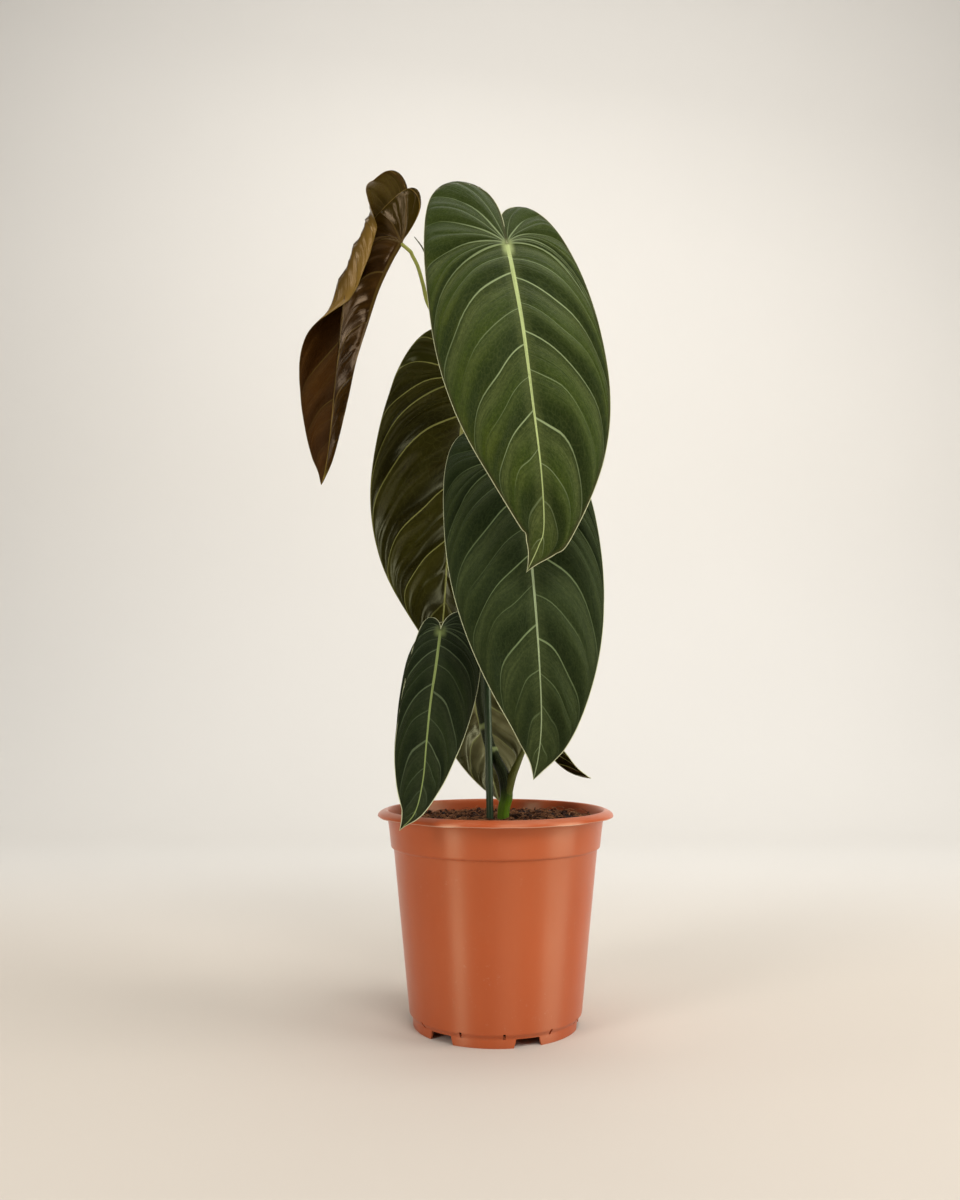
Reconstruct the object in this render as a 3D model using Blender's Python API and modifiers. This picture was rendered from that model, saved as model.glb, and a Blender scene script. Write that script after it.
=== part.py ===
"""A potted philodendron melanochrysum: plastic nursery pot, soil, support stake, vine and seven leaves.

Metres, +Z up, the front towards -Y. The pieces are laid out round the pot's axis and then moved
together, so that the origin is on the floor under the middle of the whole plant. Every piece is
its own solid: a leaf is a petiole (its stalk) and a blade, a few tenths of a millimetre apart,
and each petiole wraps the vine with the same small gap.
"""
import math

import bmesh
import bpy
import mathutils
import numpy as np

MM = 0.001
GAP = 0.3 * MM                     # clearance between touching pieces
POT_PLACE = mathutils.Vector((36.8, 7.7, 0.0)) * MM  # where the pot's axis stands in the finished part

POT_RIM_RADIUS = 95.0 * MM         # outside of the rolled lip
POT_HEIGHT = 167.5 * MM
POT_FOOT_RADIUS = 66.0 * MM
POT_WALL = 1.4 * MM
POT_SIDES = 60
NOTCH_COUNT = 6                    # drain notches through the foot
NOTCH_FIRST = math.radians(-68.5)  # direction of one notch, seen from above
NOTCH_WIDTH = 23.0 * MM
NOTCH_HEIGHT = 9.2 * MM

SOIL_LEVEL = 158.5 * MM
SOIL_BUMPS = 2.6 * MM
STAKE_RADIUS = 2.9 * MM
STAKE_FOOT = mathutils.Vector((-1.5, 0.0, 22.0)) * MM
STAKE_TOP = mathutils.Vector((-12.9, 0.0, 588.0)) * MM

BLADE_THICKNESS = 0.8 * MM
MIDRIB_THICKNESS = 2.5 * MM        # at the petiole; it thins out towards the tip
QUILT_DEPTH = 1.5 * MM             # how far the blade swells between two side veins
LOBE_SHARE = 0.36                  # part of a margin that runs round the lobe

# Where each side vein leaves the midrib, where it meets the margin (both as shares), and its angle.
VEIN_STARTS = (0.0, 0.0, 0.0, 0.0, 0.0, 0.10, 0.30, 0.53, 0.76, 1.0)
VEIN_ENDS = (0.0, 0.10, 0.20, 0.31, 0.46, 0.60, 0.75, 0.87, 0.95, 1.0)
VEIN_ANGLES = (174, 158, 138, 114, 88, 66, 58, 54, 48, 30)
ACROSS = (0.0, 0.07, 0.20, 0.38, 0.58, 0.80, 1.0)
ROWS_PER_VEIN = 2

# The vine from the soil to its growing tip: x, y, z and radius in millimetres.
VINE = (
    (6.0, 1.0, 105.0, 4.6),
    (6.2, 0.5, 160.0, 4.8),
    (9.0, 0.5, 178.0, 5.2),
    (7.0, 2.0, 193.0, 5.0),
    (1.5, 5.5, 205.0, 4.4),
    (-4.3, 9.5, 217.0, 4.6),
    (-9.0, 10.5, 236.0, 4.2),
    (-12.5, 10.5, 257.0, 4.0),
    (-13.0, 10.0, 288.0, 4.4),
    (-12.5, 9.5, 315.0, 3.8),
    (-12.0, 9.5, 343.0, 4.2),
    (-12.0, 9.0, 372.0, 3.6),
    (-12.0, 9.0, 403.0, 4.0),
    (-12.5, 9.0, 428.0, 3.5),
    (-12.5, 9.0, 453.0, 3.8),
    (-13.0, 9.0, 492.0, 3.3),
    (-15.0, 7.0, 528.0, 3.3),
)

# Petioles: route in millimetres and the radius at the foot and at the blade.
PETIOLES = {
    "top_front": (
        ((-12.5, 9.0, 453.0), (-4.0, 9.5, 463.0), (3.0, 4.0, 490.0), (8.0, -8.0, 540.0), (10.0, -28.0, 588.0)),
        3.2,
        2.2,
    ),
    "middle_front": (
        ((-12.0, 9.5, 343.0), (-3.0, 9.5, 350.0), (6.0, 4.0, 375.0), (13.0, -4.0, 408.0), (17.0, -16.0, 432.0)),
        3.4,
        2.2,
    ),
    "low_left": (
        ((-13.0, 10.0, 288.0), (-20.0, 8.0, 292.0), (-28.0, -2.0, 304.0), (-37.0, -17.0, 312.0)),
        3.2,
        1.7,
    ),
    "back_left": (
        ((-12.0, 9.0, 403.0), (-10.5, 16.0, 408.0), (-9.0, 21.0, 432.0), (-13.0, 25.0, 480.0), (-20.0, 27.0, 518.0)),
        3.3,
        2.2,
    ),
    "new_bronze": (
        (
            (-14.0, 8.0, 518.0),
            (-16.5, 5.0, 538.0),
            (-23.0, -2.0, 550.0),
            (-35.0, -6.0, 562.0),
            (-49.0, -7.0, 578.0),
            (-57.0, -6.0, 592.0),
            (-61.0, -5.0, 608.0),
            (-65.5, -4.0, 624.0),
            (-70.5, -4.0, 634.5),
        ),
        2.9,
        1.6,
    ),
    "low_back": (
        ((-9.0, 10.5, 236.0), (-10.5, 18.0, 241.0), (-15.0, 22.0, 258.0), (-21.0, 21.0, 278.0), (-25.5, 20.0, 294.0)),
        3.0,
        1.6,
    ),
    "low_right": (
        ((8.5, 0.8, 180.0), (13.0, 0.5, 193.0), (18.5, 3.0, 205.0), (24.0, 8.0, 217.0)),
        4.6,
        1.6,
    ),
}

# The pointed sheath that held the newest leaf, beside that leaf's petiole: route and radii, millimetres.
SHEATH = (
    (-33.0, -5.5, 560.5, 1.6),
    (-33.5, -1.0, 570.0, 2.2),
    (-40.0, 0.5, 585.0, 2.2),
    (-49.0, 0.5, 607.0, 1.9),
    (-56.0, 0.5, 628.0, 1.5),
    (-62.0, 0.5, 643.0, 1.0),
    (-69.0, 0.5, 653.0, 0.5),
)
TIE_HEIGHTS = (0.301, 0.472)
TIE_RADIUS = 1.1 * MM


def half(width, widest, lobe, lobe_x, taper, curl, bends, splay=0.0, bulge=0.0, rolls=None):
    """One half of a blade: its outline in metres and shares, and how it bends across."""
    return {
        "width": width,        # widest distance from midrib to margin
        "widest": widest,      # share of the blade's length where that is
        "lobe": lobe,          # how far the lobe runs back past the petiole
        "lobe_x": lobe_x,      # where the lobe is longest, as a share of the width
        "taper": taper,        # below 1 a full tip, above 1 a slim one
        "curl": curl,          # degrees that the lobe bends back
        "bends": bends,        # (share of length, fold at the midrib, roll to the margin), degrees
        "splay": splay,        # how far the lobe leans outwards, per metre that it runs back
        "bulge": bulge,        # how much rounder the lobe is, in metres
        "rolls": rolls,        # shares of the width between which the half rolls, or None for all of it
    }


PLAIN = ((-0.2, -5, 35), (0.5, -8, 36), (1.0, -5, 20))

# Each blade: midrib from the petiole to the tip, the way its upper side faces, and its two halves.
# "left" is the half on the left of somebody who looks at the upper side with the tip down.
LEAVES = {
    "top_front": {
        "midrib": (
            (0.010, -0.066, 0.616),
            (0.016, -0.080, 0.578),
            (0.022, -0.093, 0.534),
            (0.028, -0.104, 0.478),
            (0.034, -0.108, 0.423),
            (0.036, -0.104, 0.382),
            (0.032, -0.101, 0.367),
            (0.023, -0.097, 0.348),
        ),
        "face": ((0.0, (0.05, -0.95, 0.28)), (0.5, (0.05, -1.0, 0.1)), (1.0, (0.05, -1.0, -0.1))),
        "left": half(0.071, 0.22, 0.079, 0.66, 1.2, 10, PLAIN),
        "right": half(0.064, 0.41, 0.042, 0.26, 1.1, 10, PLAIN),
    },
    "middle_front": {
        "midrib": (
            (0.019, -0.038, 0.445),
            (0.025, -0.060, 0.394),
            (0.030, -0.080, 0.330),
            (0.033, -0.088, 0.277),
            (0.034, -0.088, 0.240),
            (0.032, -0.085, 0.215),
            (0.028, -0.082, 0.196),
        ),
        "face": ((0.0, (0.0, -0.92, 0.35)), (0.5, (0.05, -1.0, 0.1)), (1.0, (0.05, -1.0, -0.1))),
        "left": half(0.067, 0.22, 0.046, 0.60, 1.1, 20, PLAIN),
        "right": half(0.058, 0.30, 0.038, 0.50, 0.88, 20, PLAIN),
    },
    "low_left": {
        "midrib": (
            (-0.043, -0.038, 0.311),
            (-0.045, -0.058, 0.285),
            (-0.049, -0.072, 0.250),
            (-0.051, -0.082, 0.222),
            (-0.053, -0.088, 0.196),
            (-0.058, -0.095, 0.174),
            (-0.069, -0.098, 0.161),
        ),
        "face": ((0.0, (0.2, -0.9, 0.4)), (0.5, (0.2, -1.0, 0.1)), (1.0, (0.2, -1.0, 0.0))),
        "left": half(0.026, 0.52, 0.014, 0.40, 0.9, 10, ((-0.2, 8, 45), (0.5, 8, 50), (1.0, 0, 20))),
        "right": half(0.037, 0.20, 0.026, 0.55, 1.4, 10, PLAIN),
    },
    "back_left": {
        "midrib": (
            (-0.025, 0.038, 0.535),
            (-0.029, 0.052, 0.501),
            (-0.038, 0.070, 0.436),
            (-0.043, 0.074, 0.386),
            (-0.046, 0.072, 0.336),
            (-0.050, 0.066, 0.289),
        ),
        "face": ((0.0, (0.0, 0.9, 0.4)), (0.5, (0.0, 1.0, 0.1)), (1.0, (0.0, 1.0, -0.1))),
        "left": half(0.070, 0.30, 0.045, 0.45, 1.1, 20, PLAIN),
        "right": half(0.077, 0.35, 0.047, 0.33, 1.12, 20, PLAIN),
    },
    "new_bronze": {
        "midrib": (
            (-0.081, -0.005, 0.645),
            (-0.090, -0.002, 0.630),
            (-0.101, 0.000, 0.606),
            (-0.110, 0.002, 0.578),
            (-0.120, 0.004, 0.545),
            (-0.126, 0.004, 0.514),
            (-0.132, 0.002, 0.483),
            (-0.138, -0.002, 0.455),
            (-0.145, -0.008, 0.434),
        ),
        "face": ((0.0, (-0.956, 0.123, 0.231)), (1.0, (-0.94, 0.07, -0.09))),
        "left": half(
            0.058, 0.20, 0.050, 0.70, 0.85, 0,
            (
                (-0.30, -82, -15),
                (-0.16, -82, -20),
                (-0.08, -82, -100),
                (0.00, -82, -170),
                (0.10, -82, -188),
                (0.22, -81, -192),
                (0.28, -79, -180),
                (0.36, -75, -140),
                (0.45, -71, -85),
                (0.55, -73, -40),
                (0.68, -81, 0),
                (1.00, -75, 0),
            ),
            rolls=(0.34, 0.88),
        ),
        "right": half(
            0.022, 0.30, 0.043, 1.27, 0.8, 0,
            (
                (-0.30, -63, -25),
                (-0.05, -71, -15),
                (0.05, -81, 0),
                (0.20, -81, 0),
                (0.33, -47, -5),
                (0.48, -17, -20),
                (1.00, -5, -20),
            ),
            splay=-0.30,
            bulge=0.008,
        ),
    },
    "low_back": {
        "midrib": (
            (-0.026, 0.034, 0.306),
            (-0.021, 0.046, 0.270),
            (-0.013, 0.052, 0.233),
            (-0.005, 0.051, 0.199),
            (0.003, 0.046, 0.169),
        ),
        "face": ((0.0, (0.0, 0.9, 0.4)), (0.5, (0.0, 1.0, 0.1)), (1.0, (0.0, 1.0, -0.1))),
        "left": half(0.044, 0.34, 0.020, 0.50, 0.9, 10, PLAIN),
        "right": half(0.038, 0.30, 0.020, 0.50, 1.0, 10, PLAIN),
    },
    "low_right": {
        "midrib": (
            (0.031, 0.014, 0.233),
            (0.040, 0.020, 0.219),
            (0.050, 0.024, 0.207),
            (0.060, 0.027, 0.198),
            (0.070, 0.029, 0.193),
            (0.081, 0.030, 0.190),
        ),
        "face": ((0.0, (0.6, 0.0, 0.8)), (1.0, (0.5, 0.0, 0.85))),
        "left": half(0.022, 0.30, 0.012, 0.50, 1.1, 10, ((-0.2, -28, 10), (1.0, -28, 10))),
        "right": half(0.022, 0.30, 0.012, 0.50, 1.1, 10, ((-0.2, -28, 10), (1.0, -28, 10))),
    },
}

# Colour, roughness and metallic of each finish.
FINISHES = {
    "pot_plastic": ((0.48, 0.14, 0.07, 1.0), 0.42, 0.0),
    "soil_mix": ((0.045, 0.026, 0.016, 1.0), 0.95, 0.0),
    "stake_green": ((0.06, 0.13, 0.10, 1.0), 0.45, 0.0),
    "tie_green": ((0.05, 0.12, 0.05, 1.0), 0.6, 0.0),
    "vine_green": ((0.13, 0.24, 0.04, 1.0), 0.45, 0.0),
    "petiole_green": ((0.17, 0.24, 0.06, 1.0), 0.45, 0.0),
    "leaf_green": ((0.022, 0.055, 0.018, 1.0), 0.5, 0.0),
    "leaf_bronze": ((0.10, 0.045, 0.018, 1.0), 0.4, 0.0),
}


def collection(name):
    """Make a collection in the scene."""
    made = bpy.data.collections.new(name)
    bpy.context.scene.collection.children.link(made)
    return made


def finish(name):
    """Return the named material, made on first use."""
    if name in bpy.data.materials:
        return bpy.data.materials[name]
    colour, roughness, metallic = FINISHES[name]
    material = bpy.data.materials.new(name)
    material.use_nodes = True
    shader = material.node_tree.nodes["Principled BSDF"]
    shader.inputs["Base Color"].default_value = colour
    shader.inputs["Roughness"].default_value = roughness
    shader.inputs["Metallic"].default_value = metallic
    return material


def place(obj, group):
    """Move an object into one collection."""
    for owner in list(obj.users_collection):
        owner.objects.unlink(obj)
    group.objects.link(obj)


def add_object(name, mesh, group, slot, smooth=True):
    """Make an object of a mesh, with its finish and shading."""
    obj = bpy.data.objects.new(name, mesh)
    group.objects.link(obj)
    mesh.materials.clear()
    mesh.materials.append(finish(slot))
    for face in mesh.polygons:
        face.use_smooth = smooth
    return obj


def apply_modifiers(obj):
    """Replace an object's mesh by what its modifiers make of it."""
    depsgraph = bpy.context.evaluated_depsgraph_get()
    result = bpy.data.meshes.new_from_object(obj.evaluated_get(depsgraph))
    obj.modifiers.clear()
    obj.data = result
    return obj


def cut(obj, cutter):
    """Take a cutter away from an object."""
    step = obj.modifiers.new("cut", "BOOLEAN")
    step.operation = "DIFFERENCE"
    step.solver = "EXACT"
    step.object = cutter
    return apply_modifiers(obj)


def turned(name, profile, group, slot, sides):
    """Turn a profile (radius, height), in millimetres, round the Z axis."""
    mesh = bpy.data.meshes.new(name)
    points = [(radius * MM, 0.0, height * MM) for radius, height in profile]
    edges = [(i, i + 1) for i in range(len(points) - 1)]
    mesh.from_pydata(points, edges, [])
    obj = add_object(name, mesh, group, slot)
    screw = obj.modifiers.new("turn", "SCREW")
    screw.steps = sides
    screw.render_steps = sides
    screw.use_merge_vertices = True
    screw.merge_threshold = 0.0001
    screw.use_smooth_shade = True
    apply_modifiers(obj)
    shape = bmesh.new()
    shape.from_mesh(obj.data)
    bmesh.ops.remove_doubles(shape, verts=shape.verts, dist=0.00001)
    shape.to_mesh(obj.data)
    shape.free()
    return obj


def tube(name, route, radii, group, slot, extra=0.0, rings=4, roundness=2, closed=False):
    """Sweep a round section along a smooth route; route and radii in metres."""
    curve = bpy.data.curves.new(name, "CURVE")
    curve.dimensions = "3D"
    curve.bevel_depth = 1.0
    curve.bevel_resolution = roundness
    curve.resolution_u = rings
    curve.use_fill_caps = not closed
    line = curve.splines.new("BEZIER")
    line.use_cyclic_u = closed
    line.bezier_points.add(len(route) - 1)
    for point, place_at, radius in zip(line.bezier_points, route, radii):
        point.co = place_at
        point.handle_left_type = "AUTO"
        point.handle_right_type = "AUTO"
        point.radius = radius + extra
    holder = bpy.data.objects.new(name + "_curve", curve)
    group.objects.link(holder)
    depsgraph = bpy.context.evaluated_depsgraph_get()
    mesh = bpy.data.meshes.new_from_object(holder.evaluated_get(depsgraph))
    mesh.transform(holder.matrix_world)
    bpy.data.objects.remove(holder)
    shape = bmesh.new()
    shape.from_mesh(mesh)
    bmesh.ops.remove_doubles(shape, verts=shape.verts, dist=0.00001)
    bmesh.ops.recalc_face_normals(shape, faces=shape.faces)
    shape.to_mesh(mesh)
    shape.free()
    return add_object(name, mesh, group, slot)


def unit(vectors):
    """Scale vectors to length one."""
    vectors = np.asarray(vectors, float)
    return vectors / np.linalg.norm(vectors, axis=-1, keepdims=True)


def smooth_line(points, per_span=60):
    """Catmull-Rom curve through points."""
    p = np.asarray(points, float)
    p = np.vstack([2 * p[0] - p[1], p, 2 * p[-1] - p[-2]])
    spans = []
    for i in range(len(p) - 3):
        last = i == len(p) - 4
        t = np.linspace(0.0, 1.0, per_span, endpoint=last)[:, None]
        a, b, c, d = p[i:i + 4]
        square = (2 * a - 5 * b + 4 * c - d) * t ** 2
        cube = (3 * b - a - 3 * c + d) * t ** 3
        spans.append(0.5 * (2 * b + (c - a) * t + square + cube))
    return np.vstack(spans)


class Blade:
    """The formula of one leaf blade, from a vein number and a share of the way out to a place."""

    def __init__(self, form):
        """Take the form from LEAVES and measure its midrib."""
        self.form = form
        self.line = smooth_line(form["midrib"])
        steps = np.linalg.norm(np.diff(self.line, axis=0), axis=1)
        self.along = np.concatenate([[0.0], np.cumsum(steps)])
        self.length = self.along[-1]
        self.heading = unit(np.gradient(self.line, self.along, axis=0))

    def frame(self, s):
        """Place, direction to the tip, upper-side normal and left direction at distance s."""
        here = np.clip(s, 0.0, self.length)
        spot = np.stack([np.interp(here, self.along, self.line[:, i]) for i in range(3)], -1)
        ahead = unit(np.stack([np.interp(here, self.along, self.heading[:, i]) for i in range(3)], -1))
        shares = [share for share, _ in self.form["face"]]
        faces = unit([face for _, face in self.form["face"]])
        up = np.stack([np.interp(here / self.length, shares, faces[:, i]) for i in range(3)], -1)
        up = unit(up - (up * ahead).sum(-1, keepdims=True) * ahead)
        return spot, ahead, up, np.cross(ahead, up)

    def margin(self, side, share):
        """Flat outline point (out from the midrib, along it) at a share of the margin."""
        shape = self.form[side]
        start = shape["widest"] * self.length
        lobe_x = shape["lobe_x"] * shape["width"]
        turn = np.clip(share / LOBE_SHARE, 0.0, 1.0) * np.pi / 2
        lobe_out = lobe_x + (shape["width"] - lobe_x) * np.sin(turn) + shape["bulge"] * np.sin(2.0 * turn)
        lobe_along = start - (start + shape["lobe"]) * np.cos(turn)
        down = np.clip((share - LOBE_SHARE) / (1.0 - LOBE_SHARE), 0.0, 1.0) ** 0.92
        point = np.clip((down - 0.86) / 0.14, 0.0, 1.0)
        drip = 1.0 - 0.35 * point * point * (3.0 - 2.0 * point)
        tip_out = shape["width"] * (1.0 - down ** 2.1) ** shape["taper"] * drip
        tip_along = start + (self.length - start) * down
        in_lobe = share < LOBE_SHARE
        return np.stack([np.where(in_lobe, lobe_out, tip_out), np.where(in_lobe, lobe_along, tip_along)], -1)

    def flat(self, side, vein, out):
        """Flat point at a vein number and a share of the way out along that vein's curve."""
        numbers = np.arange(len(VEIN_STARTS))
        start = np.interp(vein, numbers, VEIN_STARTS) * self.length
        share = np.interp(vein, numbers, VEIN_ENDS)
        angle = np.radians(np.interp(vein, numbers, VEIN_ANGLES))
        root = np.stack([np.zeros_like(start), start], -1)
        edge = self.margin(side, share)
        after = self.margin(side, np.clip(share + 0.001, 0.0, 1.0))
        before = self.margin(side, np.clip(share - 0.001, 0.0, 1.0))
        reach = np.linalg.norm(edge - root, axis=-1)[..., None]
        first = root + np.stack([np.sin(angle), np.cos(angle)], -1) * reach * 0.38
        second = edge - unit(after - before) * reach * 0.36
        t = out[..., None]
        inner = root * (1 - t) ** 3 + 3 * first * t * (1 - t) ** 2
        return inner + 3 * second * t ** 2 * (1 - t) + edge * t ** 3

    def relief(self, vein, out):
        """How far the blade stands off its smooth form: swollen between veins, sunk along them."""
        swell = np.sin(np.pi * vein) ** 2
        spread = np.clip(4.0 * out * (1.0 - out), 0.0, 1.0) ** 0.6
        fan = np.clip(0.35 + 0.65 * vein / 4.0, 0.0, 1.0)
        end = np.clip((9.0 - vein) / 2.0, 0.0, 1.0)
        return QUILT_DEPTH * (swell - 0.4) * spread * fan * end

    def rolled(self, side, x):
        """Share of the roll that is reached at distance x from the midrib."""
        shape = self.form[side]
        share = np.clip(x / shape["width"], 0.0, None)
        if shape["rolls"] is None:
            return share
        first, last = shape["rolls"]
        turn = np.clip((share - first) / (last - first), 0.0, 1.0)
        return turn * turn * (3.0 - 2.0 * turn)

    def point(self, side, vein, out):
        """Place of a blade point on the upper side."""
        shape = self.form[side]
        sign = 1.0 if side == "left" else -1.0
        flat = self.flat(side, vein, out)
        s = flat[..., 1]
        back = np.clip(-s, 0.0, None)
        x = flat[..., 0] + shape["splay"] * back
        spot, ahead, up, aside = self.frame(s)
        curl = max(math.radians(shape["curl"]), 0.001) / shape["lobe"]
        turn = (curl * back)[..., None]
        spot = spot - ahead * np.sin(turn) / curl - up * (1.0 - np.cos(turn)) / curl
        up = up * np.cos(turn) - ahead * np.sin(turn)
        shares = [bend[0] for bend in shape["bends"]]
        fold = np.radians(np.interp(s / self.length, shares, [bend[1] for bend in shape["bends"]]))
        roll = np.radians(np.interp(s / self.length, shares, [bend[2] for bend in shape["bends"]]))
        across = np.zeros_like(x)
        drop = np.zeros_like(x)
        steps = 16
        for i in range(steps):
            middle = self.rolled(side, x * (i + 0.5) / steps)
            across = across + np.cos(fold + roll * middle) * x / steps
            drop = drop + np.sin(fold + roll * middle) * x / steps
        lean = fold + roll * self.rolled(side, x)
        normal = up * np.cos(lean)[..., None] + sign * aside * np.sin(lean)[..., None]
        place_at = spot + sign * aside * across[..., None] - up * drop[..., None]
        return place_at + normal * self.relief(vein, out)[..., None]

    def mesh(self, name):
        """The blade as a closed solid, with a thicker midrib under it."""
        shape = bmesh.new()
        weight = shape.verts.layers.deform.verify()
        last = len(VEIN_STARTS) - 1
        veins = np.linspace(0.0, last, last * ROWS_PER_VEIN + 1)
        thin = BLADE_THICKNESS / MIDRIB_THICKNESS
        for side in ("left", "right"):
            grid = []
            for vein in veins:
                columns = np.array(ACROSS)
                places = self.point(side, np.full_like(columns, vein), columns)
                share = float(np.interp(vein, np.arange(last + 1), VEIN_STARTS))
                rib = thin + (1.0 - thin) * max(0.0, 1.0 - share / 0.9)
                row = []
                for place_at, out in zip(places, columns):
                    vertex = shape.verts.new(place_at)
                    vertex[weight][0] = rib if out == 0.0 else thin
                    row.append(vertex)
                grid.append(row)
            for upper, lower in zip(grid, grid[1:]):
                for j in range(len(ACROSS) - 1):
                    corners = [upper[j], lower[j], lower[j + 1], upper[j + 1]]
                    if side == "left":
                        corners.reverse()
                    shape.faces.new(corners)
        bmesh.ops.remove_doubles(shape, verts=shape.verts, dist=0.00002)
        bmesh.ops.triangulate(shape, faces=shape.faces)
        mesh = bpy.data.meshes.new(name)
        shape.to_mesh(mesh)
        shape.free()
        return mesh


def make_pot(group, cutters):
    """The pot: a thin turned wall with a rolled lip, a raised collar, a foot ring and drain notches."""
    rim = POT_RIM_RADIUS / MM
    top = POT_HEIGHT / MM
    foot = POT_FOOT_RADIUS / MM
    wall = POT_WALL / MM
    profile = (
        (0.0, 8.0),
        (34.0, 8.0),
        (foot - 1.8, 8.0),
        (68.7 - wall, 11.2),
        (82.0 - wall, 136.2),
        (84.3 - wall, 138.0),
        (rim - 8.9, 163.0),
        (rim - 8.2, top - 1.2),
        (rim - 7.0, top),
        (rim - 3.4, top - 0.2),
        (rim - 1.0, top - 1.4),
        (rim, top - 3.2),
        (rim - 0.4, top - 4.5),
        (rim - 1.4, top - 4.3),
        (rim - 1.7, top - 3.4),
        (rim - 3.8, top - 2.0),
        (rim - 6.4, top - 2.1),
        (rim - 7.4, top - 4.5),
        (84.3, 138.3),
        (82.0, 136.6),
        (68.7, 10.4),
        (foot + 0.6, 7.6),
        (foot, 6.6),
        (foot - 0.3, 0.0),
        (foot - 1.7, 0.0),
        (foot - 1.9, 5.8),
        (34.0, 6.4),
        (0.0, 6.4),
    )
    pot = turned("pot", profile, group, "pot_plastic", POT_SIDES)
    for i in range(NOTCH_COUNT):
        angle = NOTCH_FIRST + i * math.tau / NOTCH_COUNT
        bpy.ops.mesh.primitive_cone_add(
            vertices=4,
            radius1=NOTCH_WIDTH * 0.5 * math.sqrt(2.0),
            radius2=NOTCH_WIDTH * 0.4 * math.sqrt(2.0),
            depth=NOTCH_HEIGHT + 1.0 * MM,
            rotation=(0.0, 0.0, math.radians(45.0)),
        )
        notch = bpy.context.object
        notch.name = "notch_cutter_%d" % (i + 1)
        bpy.ops.object.transform_apply(location=False, rotation=True, scale=False)
        notch.scale = (0.55, 1.0, 1.0)
        notch.rotation_euler = (0.0, 0.0, angle)
        out = POT_FOOT_RADIUS + 1.2 * MM
        height = (NOTCH_HEIGHT - 1.0 * MM) * 0.5
        notch.location = (out * math.cos(angle), out * math.sin(angle), height)
        notch.hide_render = True
        notch.display_type = "WIRE"
        place(notch, cutters)
        bpy.context.view_layer.update()
        cut(pot, notch)
    return pot


def make_soil(group, vine_cutter, stake_cutter):
    """The soil: fills the pot, lumpy on top, with plain holes for the vine and the stake."""
    wall = POT_WALL / MM + GAP / MM
    level = SOIL_LEVEL / MM
    profile = [(radius, level) for radius in (0.0, 12.0, 26.0, 40.0, 52.0, 63.0, 73.0, 80.0)]
    profile += [
        (86.3 - wall, level - 0.6),
        (84.3 - wall - 0.1, 138.3),
        (82.0 - wall - 0.1, 136.5),
        (68.7 - wall - 0.1, 11.6),
        (64.0, 8.5),
        (34.0, 8.4),
        (0.0, 8.4),
    ]
    soil = turned("soil", profile, group, "soil_mix", 40)
    for vertex in soil.data.vertices:
        radius = math.hypot(vertex.co.x, vertex.co.y)
        if vertex.co.z > 0.15 and radius < 0.081:
            lump = mathutils.noise.noise(vertex.co * 55.0) + 0.5 * mathutils.noise.noise(vertex.co * 130.0)
            vertex.co.z += SOIL_BUMPS * lump
    cut(soil, vine_cutter)
    cut(soil, stake_cutter)
    return soil


def rod(name, start, end, radius, group, slot, sides=16):
    """A straight round rod between two points."""
    line = end - start
    bpy.ops.mesh.primitive_cylinder_add(vertices=sides, radius=radius, depth=line.length)
    obj = bpy.context.object
    obj.name = name
    obj.data.transform(line.to_track_quat("Z", "Y").to_matrix().to_4x4())
    obj.data.transform(mathutils.Matrix.Translation((start + end) * 0.5))
    place(obj, group)
    obj.data.materials.append(finish(slot))
    for face in obj.data.polygons:
        face.use_smooth = True
    return obj


def make_vine(name, group, extra=0.0):
    """The vine, or a slightly larger copy of it to cut with."""
    route = [tuple(value * MM for value in point[:3]) for point in VINE]
    radii = [point[3] * MM for point in VINE]
    return tube(name, route, radii, group, "vine_green", extra=extra, rings=3, roundness=3)


def make_petiole(key, blade, group, extra=0.0, name=None):
    """One leaf's stalk, from the axis of the vine to just under the blade's base."""
    route, foot, end = PETIOLES[key]
    points = [np.array(point) * MM for point in route]
    spot, ahead, up, aside = blade.frame(np.zeros(1))
    seat = spot[0] - up[0] * (MIDRIB_THICKNESS + GAP + 0.1 * MM)
    points.append(seat - up[0] * 9.0 * MM + ahead[0] * 2.0 * MM)
    points.append(seat)
    shares = np.linspace(0.0, 1.0, len(points))
    radii = [(foot + (end - foot) * min(1.0, share * 1.6)) * MM for share in shares]
    return tube(name or "petiole_" + key, points, radii, group, "petiole_green", extra=extra, rings=3)


def make_blade(key, blade, group):
    """One leaf's blade."""
    slot = "leaf_bronze" if key == "new_bronze" else "leaf_green"
    obj = add_object("leaf_" + key, blade.mesh("leaf_" + key), group, slot)
    obj.vertex_groups.new(name="thickness")
    skin = obj.modifiers.new("thickness", "SOLIDIFY")
    skin.thickness = MIDRIB_THICKNESS
    skin.offset = -1.0
    skin.vertex_group = "thickness"
    skin.use_even_offset = False
    return apply_modifiers(obj)


def make_tie(number, height, group):
    """A soft tie that holds the vine to the stake, a loop that clears both."""
    levels = [point[2] * MM for point in VINE]
    middle = [np.interp(height, levels, [point[i] * MM for point in VINE]) for i in range(4)]
    vine = np.array(middle[:2])
    share = (height - STAKE_FOOT.z) / (STAKE_TOP.z - STAKE_FOOT.z)
    stake = np.array((STAKE_FOOT.x + (STAKE_TOP.x - STAKE_FOOT.x) * share, 0.0))
    reach = TIE_RADIUS + GAP + 0.3 * MM
    facing = math.atan2(*(stake - vine)[::-1])
    route = []
    for centre, radius, base in ((vine, middle[3] + reach, facing + math.pi), (stake, STAKE_RADIUS + reach, facing)):
        for step in (-80, -40, 0, 40, 80):
            angle = base + math.radians(step)
            route.append((centre[0] + radius * math.cos(angle), centre[1] + radius * math.sin(angle), height))
    radii = [TIE_RADIUS] * len(route)
    return tube("soft_tie_%d" % number, route, radii, group, "tie_green", rings=3, roundness=1, closed=True)


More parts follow.
